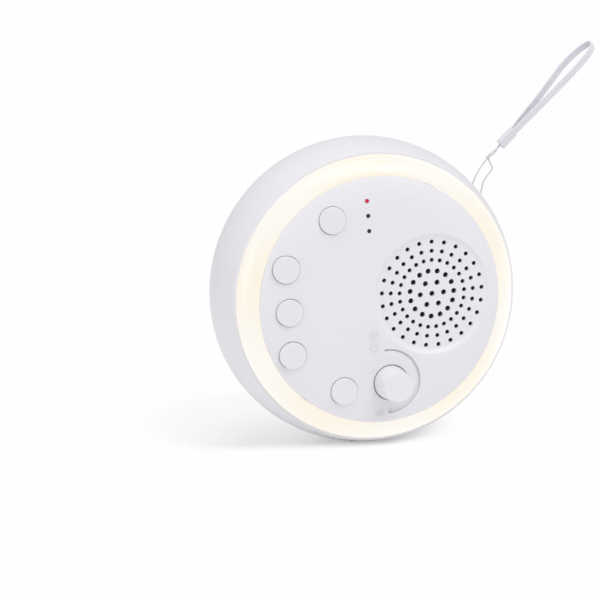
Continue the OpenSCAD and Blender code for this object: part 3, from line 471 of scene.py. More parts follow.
# How warm the glow is between the groups and over them, and how much warmer at the inner edge
WARM_LOW = 0.2
WARM_HIGH = 0.85
WARM_INNER = 0.3


def opal_polycarbonate(name, ring):
    """Opal polycarbonate lit from behind: a milky glow, warm near each group of lamps and near the
    inner edge, and clearer between them."""
    material, tree, shader, place = new_finish(name)
    flat = add(tree, "VectorMath", {0: place, 1: (1.0, 0.0, 1.0), 2: (0.0, 0.0, -AXIS_Z)},
               operation="MULTIPLY_ADD")
    reach = add(tree, "VectorMath", {0: flat}, operation="LENGTH")
    inward = add(tree, "MapRange", {"Value": reach.outputs["Value"],
                                    "From Min": RING_R - ring.width,
                                    "From Max": RING_R - ring.width / 2,
                                    "To Min": WARM_INNER, "To Max": 0.0})
    parts = add(tree, "SeparateXYZ", {"Vector": flat})
    turn = add(tree, "Math", {0: parts.outputs["Z"], 1: parts.outputs["X"]}, operation="ARCTAN2")
    phase = add(tree, "Math", {0: turn, 1: float(WARM_GROUPS),
                               2: -WARM_GROUPS * WARM_TURN}, operation="MULTIPLY_ADD")
    wave = add(tree, "Math", {0: phase}, operation="COSINE")
    near = add(tree, "MapRange", {"Value": wave, "From Min": -1.0,
                                  "To Min": WARM_LOW, "To Max": WARM_HIGH})
    warmth = add(tree, "Math", {0: near, 1: inward}, operation="ADD", use_clamp=True)
    light = add(tree, "Mix", {"Factor": warmth, 6: tuple(ring.clear),
                              7: tuple(ring.warm)}, data_type="RGBA").outputs[2]
    body = add(tree, "Mix", {"Factor": 1 - ring.body, 6: light, 7: (0.0, 0.0, 0.0, 1.0)},
               data_type="RGBA").outputs[2]
    put(tree, shader, {"Base Color": body, "Emission Color": light,
                       "Emission Strength": ring.strength, "Roughness": 0.34, "IOR": 1.585})
    return material


def silicone_rubber(name, rgba):
    """Moulded silicone rubber: a soft matt grey with a dusty bloom."""
    material, tree, shader, place = new_finish(name)
    dust = add(tree, "TexNoise", {"Vector": place, "Scale": per_metre(1.2), "Detail": 4.0})
    patterned(tree, shader, dust, rgba, 0.93, 1.06, 0.2, 0.03)
    put(tree, shader, {"Roughness": 0.78, "IOR": 1.43})
    return material


def woven(name, rgba, along, across):
    """Threads that cross over and under: ribs along one way, broken by threads the other way.
    along and across are the counts of threads over the piece's own UV map."""
    material, tree, shader, _ = new_finish(name)
    uv = add(tree, "TexCoord").outputs["UV"]
    split = add(tree, "SeparateXYZ", {"Vector": uv})
    waves = []
    for channel, count in (("X", along), ("Y", across)):
        turns = add(tree, "Math", {0: split.outputs[channel], 1: count * math.tau},
                    operation="MULTIPLY")
        waves.append(add(tree, "Math", {0: turns}, operation="SINE"))
    weave = add(tree, "Math", {0: waves[0], 1: waves[1]}, operation="MULTIPLY")
    # The threads across are a third as strong as the ribs
    ribs = add(tree, "Math", {0: weave, 1: 0.35, 2: waves[0]}, operation="MULTIPLY_ADD")
    level = add(tree, "MapRange", {"Value": ribs, "From Min": -1.35, "From Max": 1.35})
    patterned(tree, shader, level, rgba, 0.96, 1.01, 0.1, 0.01)
    put(tree, shader, {"Roughness": 0.82, "Sheen Weight": 0.25})
    return material


def plain_weave(name, hex_colour, thread, roughness=0.85):
    """Thin cloth on a flat piece: fine threads that cross, in the piece's own plane."""
    material, tree, shader, place = new_finish(name)
    checks = add(tree, "TexChecker", {"Vector": place, "Scale": per_metre(thread),
                                      "Color1": tint(linear(hex_colour), 0.75),
                                      "Color2": tint(linear(hex_colour), 1.3)})
    bump = add(tree, "Bump", {"Height": checks.outputs["Fac"], "Strength": 0.3,
                              "Distance": 0.05 * MM})
    put(tree, shader, {"Base Color": checks.outputs["Color"], "Normal": bump,
                       "Roughness": roughness})
    return material


def plated_metal(name, hex_colour, roughness=0.28, grain=0.6):
    """Nickel or zinc plate over drawn steel: a soft grey shine with faint drawing lines."""
    material, tree, shader, place = new_finish(name)
    drawn = add(tree, "Mapping", {"Vector": place, "Scale": (1.0, 0.08, 1.0)})
    lines = add(tree, "TexNoise", {"Vector": drawn, "Scale": per_metre(grain), "Detail": 4.0})
    patterned(tree, shader, lines, linear(hex_colour), 0.9, 1.08)
    spread = add(tree, "MapRange", {"Value": lines,
                                    "To Min": roughness - 0.08, "To Max": roughness + 0.12})
    put(tree, shader, {"Roughness": spread, "Metallic": 1.0})
    return material


def speckled(name, hex_colour, grit, roughness, contrast=0.12, depth=0.02, ior=1.5):
    """A dull solid with a grain of its own, such as epoxy, ferrite, paper pulp, foam or nylon."""
    material, tree, shader, place = new_finish(name)
    grain = add(tree, "TexNoise", {"Vector": place, "Scale": per_metre(grit), "Detail": 5.0})
    patterned(tree, shader, grain, linear(hex_colour), 1 - contrast, 1 + contrast, 0.3, depth)
    put(tree, shader, {"Roughness": roughness, "IOR": ior})
    return material


def glass_epoxy(name):
    """A green solder mask over copper tracks: paler lines under a glossy lacquer."""
    material, tree, shader, place = new_finish(name)
    tracks = add(tree, "TexBrick", {"Vector": place, "Scale": per_metre(6),
                                    "Color1": linear("#1F6B41"), "Color2": linear("#1B5F3A"),
                                    "Mortar": linear("#3C8C5A"), "Mortar Size": 0.03})
    bump = add(tree, "Bump", {"Height": tracks.outputs["Fac"], "Strength": 0.3,
                              "Distance": 0.035 * MM})
    put(tree, shader, {"Base Color": tracks.outputs["Color"], "Normal": bump,
                       "Roughness": 0.3, "Coat Weight": 0.4})
    return material


def lit_pipe(name, hex_colour, strength, hot=1.25):
    """A light pipe of clear acrylic with its lamp on: an even glow, a little hotter in places."""
    material, tree, shader, place = new_finish(name)
    spots = add(tree, "TexNoise", {"Vector": place, "Scale": per_metre(0.7), "Detail": 1.0})
    patterned(tree, shader, spots, linear(hex_colour), 1.0, hot)
    light = shader.inputs["Base Color"].links[0].from_socket
    put(tree, shader, {"Emission Color": light, "Emission Strength": strength, "Roughness": 0.2,
                       "IOR": 1.49})
    return material


# ------------------------------------------------------------------ routes of the strap

# Right of and above the housing's axis, in millimetres, from the sleeve round the bar and back
STRING_ROUTE = [(55.5, 43.9), (54.1, 42.8), (52, 41.5), (50.3, 40.4), (49.9, 39.2), (48.9, 38.5),
                (47, 36.2), (45.2, 33.8), (43.9, 31.4), (42.4, 29.2), (41.6, 27.8), (41.9, 26.4),
                (43.3, 25.4), (45, 25.6), (46.4, 27.4), (47, 29), (47.7, 31.1), (49.1, 33),
                (50.8, 34.7), (51.2, 35.9), (50.6, 37.6), (50.2, 39.3), (52.3, 40.4), (53.4, 41.7),
                (54.1, 42.8), (55.5, 43.7)]
# How far each of those points lies behind the strap's middle plane
STRING_BACK = [-0.4, -0.5, -0.5, -0.5, -0.5, -0.3] + [0] * 14 + [0.3, 0.5, 0.5, 0.5, 0.5, 0.4]
KNOT_AT = (49.9, 39.2)
SLEEVE_FROM = (54.6, 43.2)
SLEEVE_TO = (59.9, 47.6)
# The webbing's loop: distance past the sleeve, and to the right of the sleeve's middle
LOOP_ROUTE = [(-1.2, 0.3), (0, 0.35), (4, 0.5), (8, 0.65), (12, 0.8), (16, 0.85), (20, 0.95), (24, 1),
              (28, 1.05), (32, 0.85), (36, 0.6), (38.4, 0.2), (40.2, -0.5), (41, -1.7), (40.3, -2.9),
              (38.4, -3.6), (36, -4.1), (32, -4.45), (28, -4.4), (24, -3.8), (20, -3.15), (16, -2.5),
              (12, -1.95), (8, -1.6), (4, -1.1), (0, -0.4), (-1.2, -0.3)]
ROUTE_STEPS = 6


def curve_points(points, steps):
    """Points of a smooth curve through the given ones."""
    made = []
    for i in range(len(points) - 1):
        a, b, c, d = (points[min(max(i + k, 0), len(points) - 1)] for k in (-1, 0, 1, 2))
        for step in range(steps):
            t = step / steps
            made.append(0.5 * (2 * b + (c - a) * t + (2 * a - 5 * b + 4 * c - d) * t * t
                               + (3 * b - a - 3 * c + d) * t ** 3))
    return made + [points[-1]]


def route_length(points):
    return sum((b - a).length for a, b in zip(points, points[1:]))


def drawn_curve(name, points):
    """A curve of one open spline of straight steps through the points."""
    curve = bpy.data.curves.new(name, "CURVE")
    curve.dimensions = "3D"
    spline = curve.splines.new("POLY")
    spline.points.add(len(points) - 1)
    for spot, point in zip(spline.points, points):
        spot.co = (*point, 1)
    made = bpy.data.objects.new(name, curve)
    bpy.context.scene.collection.objects.link(made)
    return made


def rounded_outline(name, width, height, corner, steps=4):
    """A closed flat outline with round corners, for a curve to carry along."""
    points = []
    for i, (sx, sy) in enumerate([(1, 1), (-1, 1), (-1, -1), (1, -1)]):
        for step in range(steps + 1):
            turn = math.radians(90 * i + 90 * step / steps)
            points.append(Vector((sx * (width / 2 - corner) + corner * math.cos(turn),
                                  sy * (height / 2 - corner) + corner * math.sin(turn), 0)))
    made = drawn_curve(name, points)
    made.data.dimensions = "2D"
    made.data.splines[0].use_cyclic_u = True
    return made


def swept_mesh(name, points, outline, twist="MINIMUM"):
    """A mesh of an outline carried along points, with a UV map that runs along and round it."""
    made = drawn_curve(name, points)
    made.data.twist_mode = twist
    made.data.bevel_mode = "OBJECT"
    made.data.bevel_object = outline
    made.data.use_fill_caps = True
    choose(made)
    bpy.ops.object.convert(target="MESH")
    bpy.data.objects.remove(outline)
    piece = bpy.context.active_object
    open_up(piece)
    bpy.ops.mesh.remove_doubles(threshold=MERGE)
    bpy.ops.mesh.normals_make_consistent(inside=False)
    return settle(piece, name)


# ------------------------------------------------------------------ operators


class SOUNDMACHINE_OT_stage(bpy.types.Operator):
    """Sets up the camera, the floor, the lamps and the sky"""
    bl_idname = "soundmachine.stage"
    bl_label = "Stage"

    def execute(self, context):
        stage = settings().stage
        scene = context.scene
        scene.view_settings.view_transform = "Standard"
        self.camera(scene, stage)
        self.floor(stage)
        self.lamps(stage)
        self.sky(scene, stage)
        return {"FINISHED"}

    def camera(self, scene, stage):
        back = Vector((-math.sin(stage.azimuth) * math.cos(stage.elevation),
                       -math.cos(stage.azimuth) * math.cos(stage.elevation),
                       math.sin(stage.elevation)))
        level = (-back).cross(Vector((0, 0, 1))).normalized()
        upright = level.cross(-back)
        right = level * math.cos(stage.roll) - upright * math.sin(stage.roll)
        up = upright * math.cos(stage.roll) + level * math.sin(stage.roll)
        lens = bpy.data.cameras.new("camera")
        lens.lens = stage.lens
        lens.clip_end = 10
        camera = bpy.data.objects.new("camera", lens)
        scene.collection.objects.link(camera)
        camera.matrix_world = Matrix((
            (right.x, up.x, back.x, CAMERA_AT.x),
            (right.y, up.y, back.y, CAMERA_AT.y),
            (right.z, up.z, back.z, CAMERA_AT.z),
            (0, 0, 0, 1)))
        scene.camera = camera

    def floor(self, stage):
        """A plain pale floor that carries the object's shadow and, to the camera, fades into the
        backdrop some way off."""
        floor = started("floor", bpy.ops.mesh.primitive_plane_add, size=FLOOR_SIZE)
        material, tree, shader, place = new_finish("matt_paint")
        # What the camera sees of the floor is no lamp
        material.cycles.emission_sampling = "NONE"
        cloud = add(tree, "TexNoise", {"Vector": place, "Scale": per_metre(300)})
        patterned(tree, shader, cloud, tuple(stage.floor), 0.995, 1.0)
        put(tree, shader, {"Roughness": 0.95, "Specular IOR Level": 0.0})
        dull = add(tree, "BsdfDiffuse", {"Color": (*[FLOOR_SHADE] * 3, 1)})
        lift = add(tree, "Emission", {"Color": (1, 1, 1, 1), "Strength": FLOOR_LIFT})
        near = add(tree, "AddShader", {0: dull, 1: lift})
        far = add(tree, "Emission", {"Color": tuple(stage.backdrop), "Strength": 1.0})
        moved = add(tree, "Mapping", {"Vector": place, "Location": SHADOW_MIDDLE,
                                      "Scale": SHADOW_REACH}, vector_type="TEXTURE")
        away = add(tree, "VectorMath", {0: moved}, operation="LENGTH")
        oval = add(tree, "MapRange", {"Value": away.outputs["Value"], "From Min": SHADOW_FADE,
                                      "From Max": 1.0}, interpolation_type="SMOOTHSTEP")
        ahead = add(tree, "VectorMath", {0: place, 1: SHADOW_AHEAD}, operation="DOT_PRODUCT")
        front = add(tree, "MapRange", {"Value": ahead.outputs["Value"],
                                       "From Min": SHADOW_FRONT[0],
                                       "From Max": SHADOW_FRONT[1]},
                    interpolation_type="SMOOTHSTEP")
        fade = add(tree, "Math", {0: oval, 1: front}, operation="MAXIMUM")
        seen = add(tree, "MixShader", {0: fade, 1: near, 2: far})
        sight = add(tree, "LightPath")
        both = add(tree, "MixShader", {0: sight.outputs["Is Camera Ray"], 1: shader, 2: seen})
        output = next(n for n in tree.nodes if n.type == "OUTPUT_MATERIAL")
        put(tree, output, {"Surface": both})
        floor.data.materials.append(material)

    def lamps(self, stage):
        for name, place, width, power in LAMPS:
            light = bpy.data.lights.new(name, "AREA")
            light.shape = "DISK"
            light.size = width
            light.energy = power * stage.key_strength
            lamp = bpy.data.objects.new(name, light)
            bpy.context.scene.collection.objects.link(lamp)
            lamp.location = place
            aim = Vector(place) - Vector((0, 0, AXIS_Z))
            lamp.rotation_euler = aim.to_track_quat("Z", "Y").to_euler()

    def sky(self, scene, stage):
        world = bpy.data.worlds.new("sky")
        scene.world = world
        world.use_nodes = True
        tree = world.node_tree
        tree.nodes.clear()
        sight = add(tree, "LightPath")
        seen = add(tree, "Math", {0: sight.outputs["Is Camera Ray"],
                                  1: sight.outputs["Is Transmission Ray"]}, operation="MAXIMUM")
        soft = add(tree, "Background", {"Color": (1, 1, 1, 1), "Strength": stage.fill_strength})
        plain = add(tree, "Background", {"Color": tuple(stage.backdrop), "Strength": 1.0})
        mixed = add(tree, "MixShader", {0: seen, 1: soft, 2: plain})
        add(tree, "OutputWorld", {"Surface": mixed})


CAMERA_AT = Vector((-0.28146, -0.96241, 0.25441))
FLOOR_SIZE = 12.0
# What the camera sees of the floor: a share that the lamps don't change, which keeps the shadow
# soft, and a share that takes light and shadow
FLOOR_LIFT = 0.4
FLOOR_SHADE = 0.64
# The oval of floor in which the shadow shows: its middle, its half lengths, and the share of them at
# which it starts to fade
SHADOW_MIDDLE = (-0.020, 0.040, 0)
SHADOW_REACH = (0.060, 0.085, 1)
SHADOW_FADE = 0.6
# The way forwards from the object, and how far along it the shadow starts and ends to fade
SHADOW_AHEAD = (-0.45, -0.893, 0)
SHADOW_FRONT = (0.004, 0.016)
# Name, place, width and share of the key light's strength
LAMPS = [("key_light", (0.42, -0.85, 0.98), 0.7, 0.95),
         ("left_light", (-1.0, -0.12, 0.28), 0.5, 0.28),
         ("top_light", (0.0, -0.25, 1.2), 0.7, 0.7)]


class SOUNDMACHINE_OT_strap(bpy.types.Operator):
    """Makes the string, its knot, the sleeve and the webbing of the strap"""
    bl_idname = "soundmachine.strap"
    bl_label = "Strap"

    def execute(self, context):
        strap = settings().strap
        string = self.string(strap)
        knot = self.knot(strap)
        sleeve = self.sleeve(strap)
        webbing, points = self.webbing(strap)
        return {"FINISHED"}

    def string(self, strap):
        route = [at(x * MM, strap.depth + back * MM, z * MM)
                 for (x, z), back in zip(STRING_ROUTE, STRING_BACK)]
        points = curve_points(route, ROUTE_STEPS)
        piece = self.braid("strap_string_braid", points, points, "strap_string", "braided_nylon")
        return piece, points

    def braid(self, name, path, points, node, finish_name):
        """Braided cord along a path, with its strands spread over the length of the points."""
        strap = settings().strap
        outline = rounded_outline("string_outline", strap.string_d, strap.string_d,
                                  strap.string_d / 2, steps=3)
        piece = swept_mesh(name, path, outline)
        bpy.ops.object.shade_smooth()
        finish = woven(finish_name, tuple(strap.string), route_length(points) / STRAND, STRANDS)
        return finished(piece, ROOT, "strap_string", finish, node)

    def knot(self, strap):
        """An overhand knot: the string's own loops drawn tight round both runs."""
        middle = at(KNOT_AT[0] * MM, strap.depth, KNOT_AT[1] * MM)
        along = Vector((SLEEVE_TO[0] - SLEEVE_FROM[0], 0, SLEEVE_TO[1] - SLEEVE_FROM[1]))
        along.normalize()
        side = Vector((0, 1, 0))
        out = along.cross(side)
        points = []
        for i in range(KNOT_POINTS):
            turn = math.tau * i / KNOT_POINTS
            wide = (math.sin(turn) + 2 * math.sin(2 * turn)) / 3
            deep = (math.cos(turn) - 2 * math.cos(2 * turn)) / 3
            points.append(middle + (out * wide + side * deep) * KNOT_R
                          - along * math.sin(3 * turn) * KNOT_R * 0.5)
        return self.braid("strap_overhand_knot", points + points[:2], points, "strap_knot",
                          "braided_nylon_knot")

    def loop_frame(self, strap):
        """Where the webbing leaves the sleeve: along the strap, across it and along its width."""
        start = at(SLEEVE_FROM[0] * MM, strap.depth, SLEEVE_FROM[1] * MM)
        end = at(SLEEVE_TO[0] * MM, strap.depth, SLEEVE_TO[1] * MM)
        along = (end - start).normalized()
        right = Vector((along.z, 0, -along.x))
        back = Vector((0, 1, 0))
        across = right * math.cos(strap.loop_turn) - back * math.sin(strap.loop_turn)
        return Matrix((along, across, along.cross(across))).transposed().to_4x4(), start, end

    def sleeve(self, strap):
        """A moulded sleeve that holds the webbing's ends and the string, with rounded edges."""
        turn, start, end = self.loop_frame(strap)
        piece = started("strap_sleeve_moulded", bpy.ops.mesh.primitive_cube_add, size=1,
                        scale=((end - start).length, strap.sleeve_depth, strap.sleeve_w))
        bevelled(piece, SLEEVE_EDGE, 4)
        piece.data.transform(Matrix.Translation((start + end) / 2) @ turn)
        smoothed(piece)
        finish = spark_eroded_abs("moulded_polyethylene", tuple(strap.sleeve), 0.5)
        return finished(piece, ROOT, "sleeve_plastic", finish, "strap_sleeve")

    def webbing(self, strap):
        """The webbing is drawn flat, thin across its route, and then turned into its place."""
        turn, _, end = self.loop_frame(strap)
        place = Matrix.Translation(end) @ turn
        flat = curve_points([Vector((s * MM, c * MM, 0)) for s, c in LOOP_ROUTE], ROUTE_STEPS)
        outline = rounded_outline("webbing_outline", strap.web_t, strap.web_w, strap.web_t * 0.4)
        piece = swept_mesh("strap_webbing_woven", flat, outline, "Z_UP")
        piece.data.transform(place)
        smoothed(piece, math.radians(50))
        points = [place @ point for point in flat]
        finish = woven("woven_polyester", tuple(strap.webbing), route_length(points) / RIB,
                       RIBS_ACROSS)
        return finished(piece, ROOT, "strap_webbing", finish, "strap_webbing"), points


# Strands are 0.25 mm long in the real braid, and drawn at 0.4 mm; ribs are 0.4 mm apart on the real
# webbing, and drawn at 0.55 mm
STRAND = 0.4 * MM
STRANDS = 4
RIB = 0.55 * MM
RIBS_ACROSS = 10
KNOT_POINTS = 48
KNOT_R = 0.62 * MM
SLEEVE_EDGE = 0.5 * MM


class SOUNDMACHINE_OT_housing(bpy.types.Operator):
    """Makes the round rear housing with its posts, its openings and its rubber feet"""
    bl_idname = "soundmachine.housing"
    bl_label = "Housing"

    def execute(self, context):
        housing = settings().housing
        finish = spark_eroded_abs("housing_spark_eroded_abs", tuple(housing.plastic))
        piece = combine(self.form("rear_housing_shell", housing, 0),
                        self.form("hollow", housing, housing.wall), "DIFFERENCE")
        for inside in self.inside(housing):
            combine(piece, inside, "UNION")
        for cut in self.cuts(housing):
            combine(piece, cut, "DIFFERENCE")
        finished(smoothed(piece), ROOT, "housing_abs", finish, "rear_housing")
        self.feet(housing)
        return {"FINISHED"}

    def form(self, name, housing, shrink):
        """The housing's round form with its flat, shrunk by the wall for its hollow."""
        lip_r = RING_R + housing.lip_w
        swell = BODY_R - lip_r
        front = []
        for i in range(BELLY_STEPS + 1):
            depth = housing.belly_y * i / BELLY_STEPS
            front.append((BODY_R - shrink - swell * (1 - depth / housing.belly_y) ** 2, depth))
        if shrink:
            front.insert(0, (front[0][0], -OVER))
        else:
            radius, _ = front[0]
            front[:1] = [(radius - LIP_EDGE, 0), (radius - LIP_EDGE * 0.3, LIP_EDGE * 0.3),
                         (radius, LIP_EDGE)]
        back = arc(BODY_R - housing.back_round, BODY_DEPTH - housing.back_round,
                   housing.back_round - shrink, 0, 90, BACK_STEPS)
        piece = turned(name, front + [point for point in back if point[1] > housing.belly_y + MERGE])
        open_up(piece)
        bpy.ops.mesh.bisect(plane_co=at(0, 0, -FLAT_Z + shrink), plane_no=(0, 0, 1), use_fill=True,
                            clear_inner=True)
        bpy.ops.mesh.select_all(action="SELECT")
        bpy.ops.mesh.normals_make_consistent(inside=False)
        return settle(piece, name)

    def inside(self, housing):
        """The posts over the screws, the shelf behind the ring, the saddles of the battery, the
        rails of the charging board and the wall of the strap's pocket."""
        bury = BODY_DEPTH - housing.wall / 2
        shapes = []
        for x, z in places_round(POST_TURNS, housing.post_r):
            shapes.append(turned("post", [(POST_R, POST_TOP), (POST_R, POST_STEP),
                                          (POST_BASE_R, POST_STEP), (POST_BASE_R, bury)],
                                 x, z, SMALL_SIDES))
        shelf_out = RING_R - housing.wall / 2
        shelf_back = SHELF_FRONT + SHELF_T
        shapes.append(turned("shelf", [(SHELF_R, SHELF_FRONT), (shelf_out, SHELF_FRONT),
                                       (shelf_out, shelf_back), (SHELF_R, shelf_back),
                                       (SHELF_R, SHELF_FRONT)], loop=True))
        cell = box_middle("battery_sleeve")
        cell_r = (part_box("battery_sleeve")[1].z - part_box("battery_sleeve")[0].z) / 2
        for x in (-SADDLE_X, SADDLE_X):
            reach = cell_r + SADDLE_WALL
            saddle = block("saddle", (x - SADDLE_T / 2, cell.y - SADDLE_WRAP, cell.z - reach),
                           (x + SADDLE_T / 2, LIP_Y + bury, cell.z + reach))
            bed = started("bed", bpy.ops.mesh.primitive_cylinder_add, vertices=SMALL_SIDES * 2,
                          radius=cell_r + CELL_GAP, depth=SADDLE_T * 2,
                          location=(x, cell.y, cell.z), rotation=(0, math.radians(90), 0))
            combine(saddle, bed, "DIFFERENCE")
            mouth = cell_r - CELL_GRIP
            combine(saddle, block("mouth", (x - SADDLE_T, LIP_Y, cell.z - mouth),
                                  (x + SADDLE_T, cell.y, cell.z + mouth)), "DIFFERENCE")
            shapes.append(saddle)
        board_low, board_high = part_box("charge_board")
        for side in (-1, 1):
            edge = side * (board_high.x + CELL_GAP - RAIL_BITE)
            far = edge + side * RAIL_T
            rail = block("rail", (min(edge, far), board_low.y + OVER, board_low.z - RAIL_T),
                         (max(edge, far), LIP_Y + bury, board_high.z + RAIL_T))
            combine(rail, block("slot", board_low - Vector((CELL_GAP, OVER, CELL_GAP)),
                                board_high + Vector((CELL_GAP, CELL_GAP, CELL_GAP))), "DIFFERENCE")
            shapes.append(rail)
        pocket = self.pocket_block("pocket_wall", POCKET_WALL, POCKET_DEEP - POCKET_WALL)
        combine(pocket, self.form("trim", housing, housing.wall / 2), "INTERSECT")
        shapes.append(pocket)
        return shapes

    def pocket_block(self, name, grow, start):
        """The strap's pocket as a block that points out of the rim."""
        depth = settings().strap.depth
        pocket = started(name, bpy.ops.mesh.primitive_cube_add, size=1,
                         scale=(BODY_R, POCKET_H + 2 * grow, POCKET_W + 2 * grow))
        turn = Matrix.Rotation(-math.radians(STRAP_TURN), 4, "Y")
        pocket.data.transform(Matrix.Translation(at(0, depth, 0)) @ turn
                              @ Matrix.Translation((start + BODY_R / 2, 0, 0)))
        return pocket

    def cuts(self, housing):
        """The screws' bores, the charging opening, the seats of the feet and the strap's pocket."""
        edge = housing.edge
        shapes = []
        for x, z in places_round(POST_TURNS, housing.post_r):
            shapes.append(turned("bore", [(SCREW_R, POST_TOP - OVER), (SCREW_R, POST_SEAT),
                                          (housing.bore_r, POST_SEAT),
                                          (housing.bore_r, BODY_DEPTH - edge),
                                          (housing.bore_r + edge + OVER, BODY_DEPTH + OVER)],
                                 x, z, SMALL_SIDES))
        shell_low, shell_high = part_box("usb_shell")
        mouth = (shell_high.z - shell_low.z) / 2 + USB_GAP
        half = (shell_high.x - shell_low.x) / 2 + USB_GAP
        middle = (shell_low + shell_high) / 2
        rear = LIP_Y + BODY_DEPTH
        opening = block("charging_opening", (-half, rear - housing.wall - OVER, middle.z - mouth),
                        (half, rear + OVER, middle.z + mouth))
        shapes.append(self.round_long_edges(opening, mouth * NEARLY_ROUND))
        for x, z in self.foot_places():
            shapes.append(turned("foot_seat", [(REAR_FOOT_R, BODY_DEPTH + FOOT_OUT - FOOT_T),
                                               (REAR_FOOT_R, BODY_DEPTH + OVER)], x, z, SMALL_SIDES))
        foot_low, foot_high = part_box("base_foot")
        shapes.append(block("foot_recess", foot_low - Vector((0, 0, OVER)), foot_high))
        pocket = self.pocket_block("pocket", 0, POCKET_DEEP)
        depth = settings().strap.depth
        turn = math.radians(STRAP_TURN)
        bar = turned("bar", [(BAR_R, depth - POCKET_H), (BAR_R, depth + POCKET_H)],
                     BAR_OUT * math.cos(turn), BAR_OUT * math.sin(turn), SMALL_SIDES)
        shapes.append(combine(pocket, bar, "DIFFERENCE"))
        return shapes

    def round_long_edges(self, piece, radius):
        """Rounds the edges of a block that run along the depth."""
        choose(piece)
        bpy.ops.object.mode_set(mode="EDIT")
        bpy.ops.mesh.select_mode(type="EDGE")
        bpy.ops.mesh.select_all(action="DESELECT")
        bpy.ops.object.mode_set(mode="OBJECT")
        for edge in piece.data.edges:
            a, b = (piece.data.vertices[i].co for i in edge.vertices)
            edge.select = abs((b - a).normalized().y) > 0.99
        bpy.ops.object.mode_set(mode="EDIT")
        bpy.ops.mesh.bevel(offset=radius, segments=8, affect="EDGES")
        bpy.ops.mesh.select_mode(type="VERT")
        return settle(piece, piece.name)

    def foot_places(self):
        return [(x, z) for x in (-REAR_FOOT_AT, REAR_FOOT_AT) for z in (-REAR_FOOT_AT, REAR_FOOT_AT)]

    def feet(self, housing):
        """Four round feet on the back and the pad under the flat, with softened edges."""
        finish = silicone_rubber("moulded_silicone_rubber", tuple(housing.rubber))
        edge = FOOT_EDGE
        rear = BODY_DEPTH + FOOT_OUT
        feet = [turned("foot", [(REAR_FOOT_R, rear - FOOT_T)]
                       + arc(REAR_FOOT_R - edge, rear - edge, edge, 0, 90, 5), x, z, SMALL_SIDES)
                for x, z in self.foot_places()]
        joined = settle(gathered(feet), "rear_feet_rubber")
        finished(smoothed(joined), ROOT, "foot_rubber", finish, "rear_feet")
        pad = block("base_foot_rubber", *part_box("base_foot"))
        finished(smoothed(bevelled(pad, edge)), ROOT, "foot_rubber", finish, "base_foot")


BELLY_STEPS = 16
BACK_STEPS = 40
LIP_EDGE = 0.15 * MM
POST_TURNS = [47, 137, 227, 317]
POST_R = 3.2 * MM
POST_TOP = 6 * MM
POST_STEP = 13.8 * MM
POST_BASE_R = 4.2 * MM
POST_SEAT = 16 * MM
SCREW_R = 1.3 * MM
SHELF_R = 44.4 * MM
SHELF_FRONT = 2.2 * MM
SHELF_T = 2 * MM
SADDLE_X = 18 * MM
SADDLE_T = 2 * MM
SADDLE_WALL = 2.2 * MM
SADDLE_WRAP = 4.6 * MM
CELL_GAP = 0.05 * MM
CELL_GRIP = 0.5 * MM
RAIL_T = 2.2 * MM
RAIL_BITE = 0.8 * MM
USB_GAP = 0.2 * MM
# The charging opening's ends are rounded by this share of half its height
NEARLY_ROUND = 0.98
POCKET_H = 4 * MM
POCKET_W = 7.6 * MM
POCKET_WALL = 1.4 * MM
POCKET_DEEP = BODY_R - 3.9 * MM
STRAP_TURN = 32.3
BAR_R = 1.1 * MM
BAR_OUT = BODY_R - 1.25 * MM
REAR_FOOT_AT = 17 * MM
REAR_FOOT_R = 4 * MM
FOOT_OUT = 0.5 * MM
FOOT_T = 1.5 * MM
FOOT_EDGE = 0.25 * MM


class SOUNDMACHINE_OT_light_ring(bpy.types.Operator):
    """Makes the glowing diffuser ring between the housing's lip and the panel"""
    bl_idname = "soundmachine.light_ring"
    bl_label = "Light ring"

    def execute(self, context):
        ring = settings().ring
        housing = settings().housing
        inner_r = RING_R - ring.width
        chord = math.hypot(ring.width, RING_RISE)
        bend = (chord ** 2 / 4 + ring.bulge ** 2) / (2 * ring.bulge)
        centre_r = RING_R - ring.width / 2 - RING_RISE / chord * (bend - ring.bulge)
        centre_y = -RING_RISE / 2 + ring.width / chord * (bend - ring.bulge)
        start = math.degrees(math.atan2(-centre_y, RING_R - centre_r))
        end = math.degrees(math.atan2(-RING_RISE - centre_y, inner_r - centre_r))
        seat_r = RING_R + housing.lip_w - housing.wall - RING_FIT
        skirt_r = seat_r - ring.wall
        hook_r = inner_r + ring.wall
        inside = bend - ring.wall
        profile = arc(centre_r, centre_y, bend, start, end, RING_STEPS)
        # The inner edge is eased, so that it catches the light against the panel
        profile[-1:] = [(inner_r + RING_EASE, -RING_RISE + RING_EASE * 0.1),
                        (inner_r, -RING_RISE + RING_EASE)]
        profile += [(inner_r, HOOK_Y), (hook_r, HOOK_Y)]
        start, end = (-math.degrees(math.acos((radius - centre_r) / inside))
                      for radius in (hook_r, skirt_r))
        profile += arc(centre_r, centre_y, inside, start, end, RING_STEPS)
        profile += [(skirt_r, RING_BACK), (seat_r, RING_BACK), (seat_r, 0), profile[0]]
        piece = turned("light_ring_diffuser", profile, sides=RING_SIDES, loop=True)
        finish = opal_polycarbonate("opal_polycarbonate", ring)
        finished(smoothed(piece), ROOT, "ring_diffuser", finish, "light_ring")
        return {"FINISHED"}


RING_FIT = 0.1 * MM
RING_EASE = 0.2 * MM
RING_STEPS = 20
HOOK_Y = -2.5 * MM


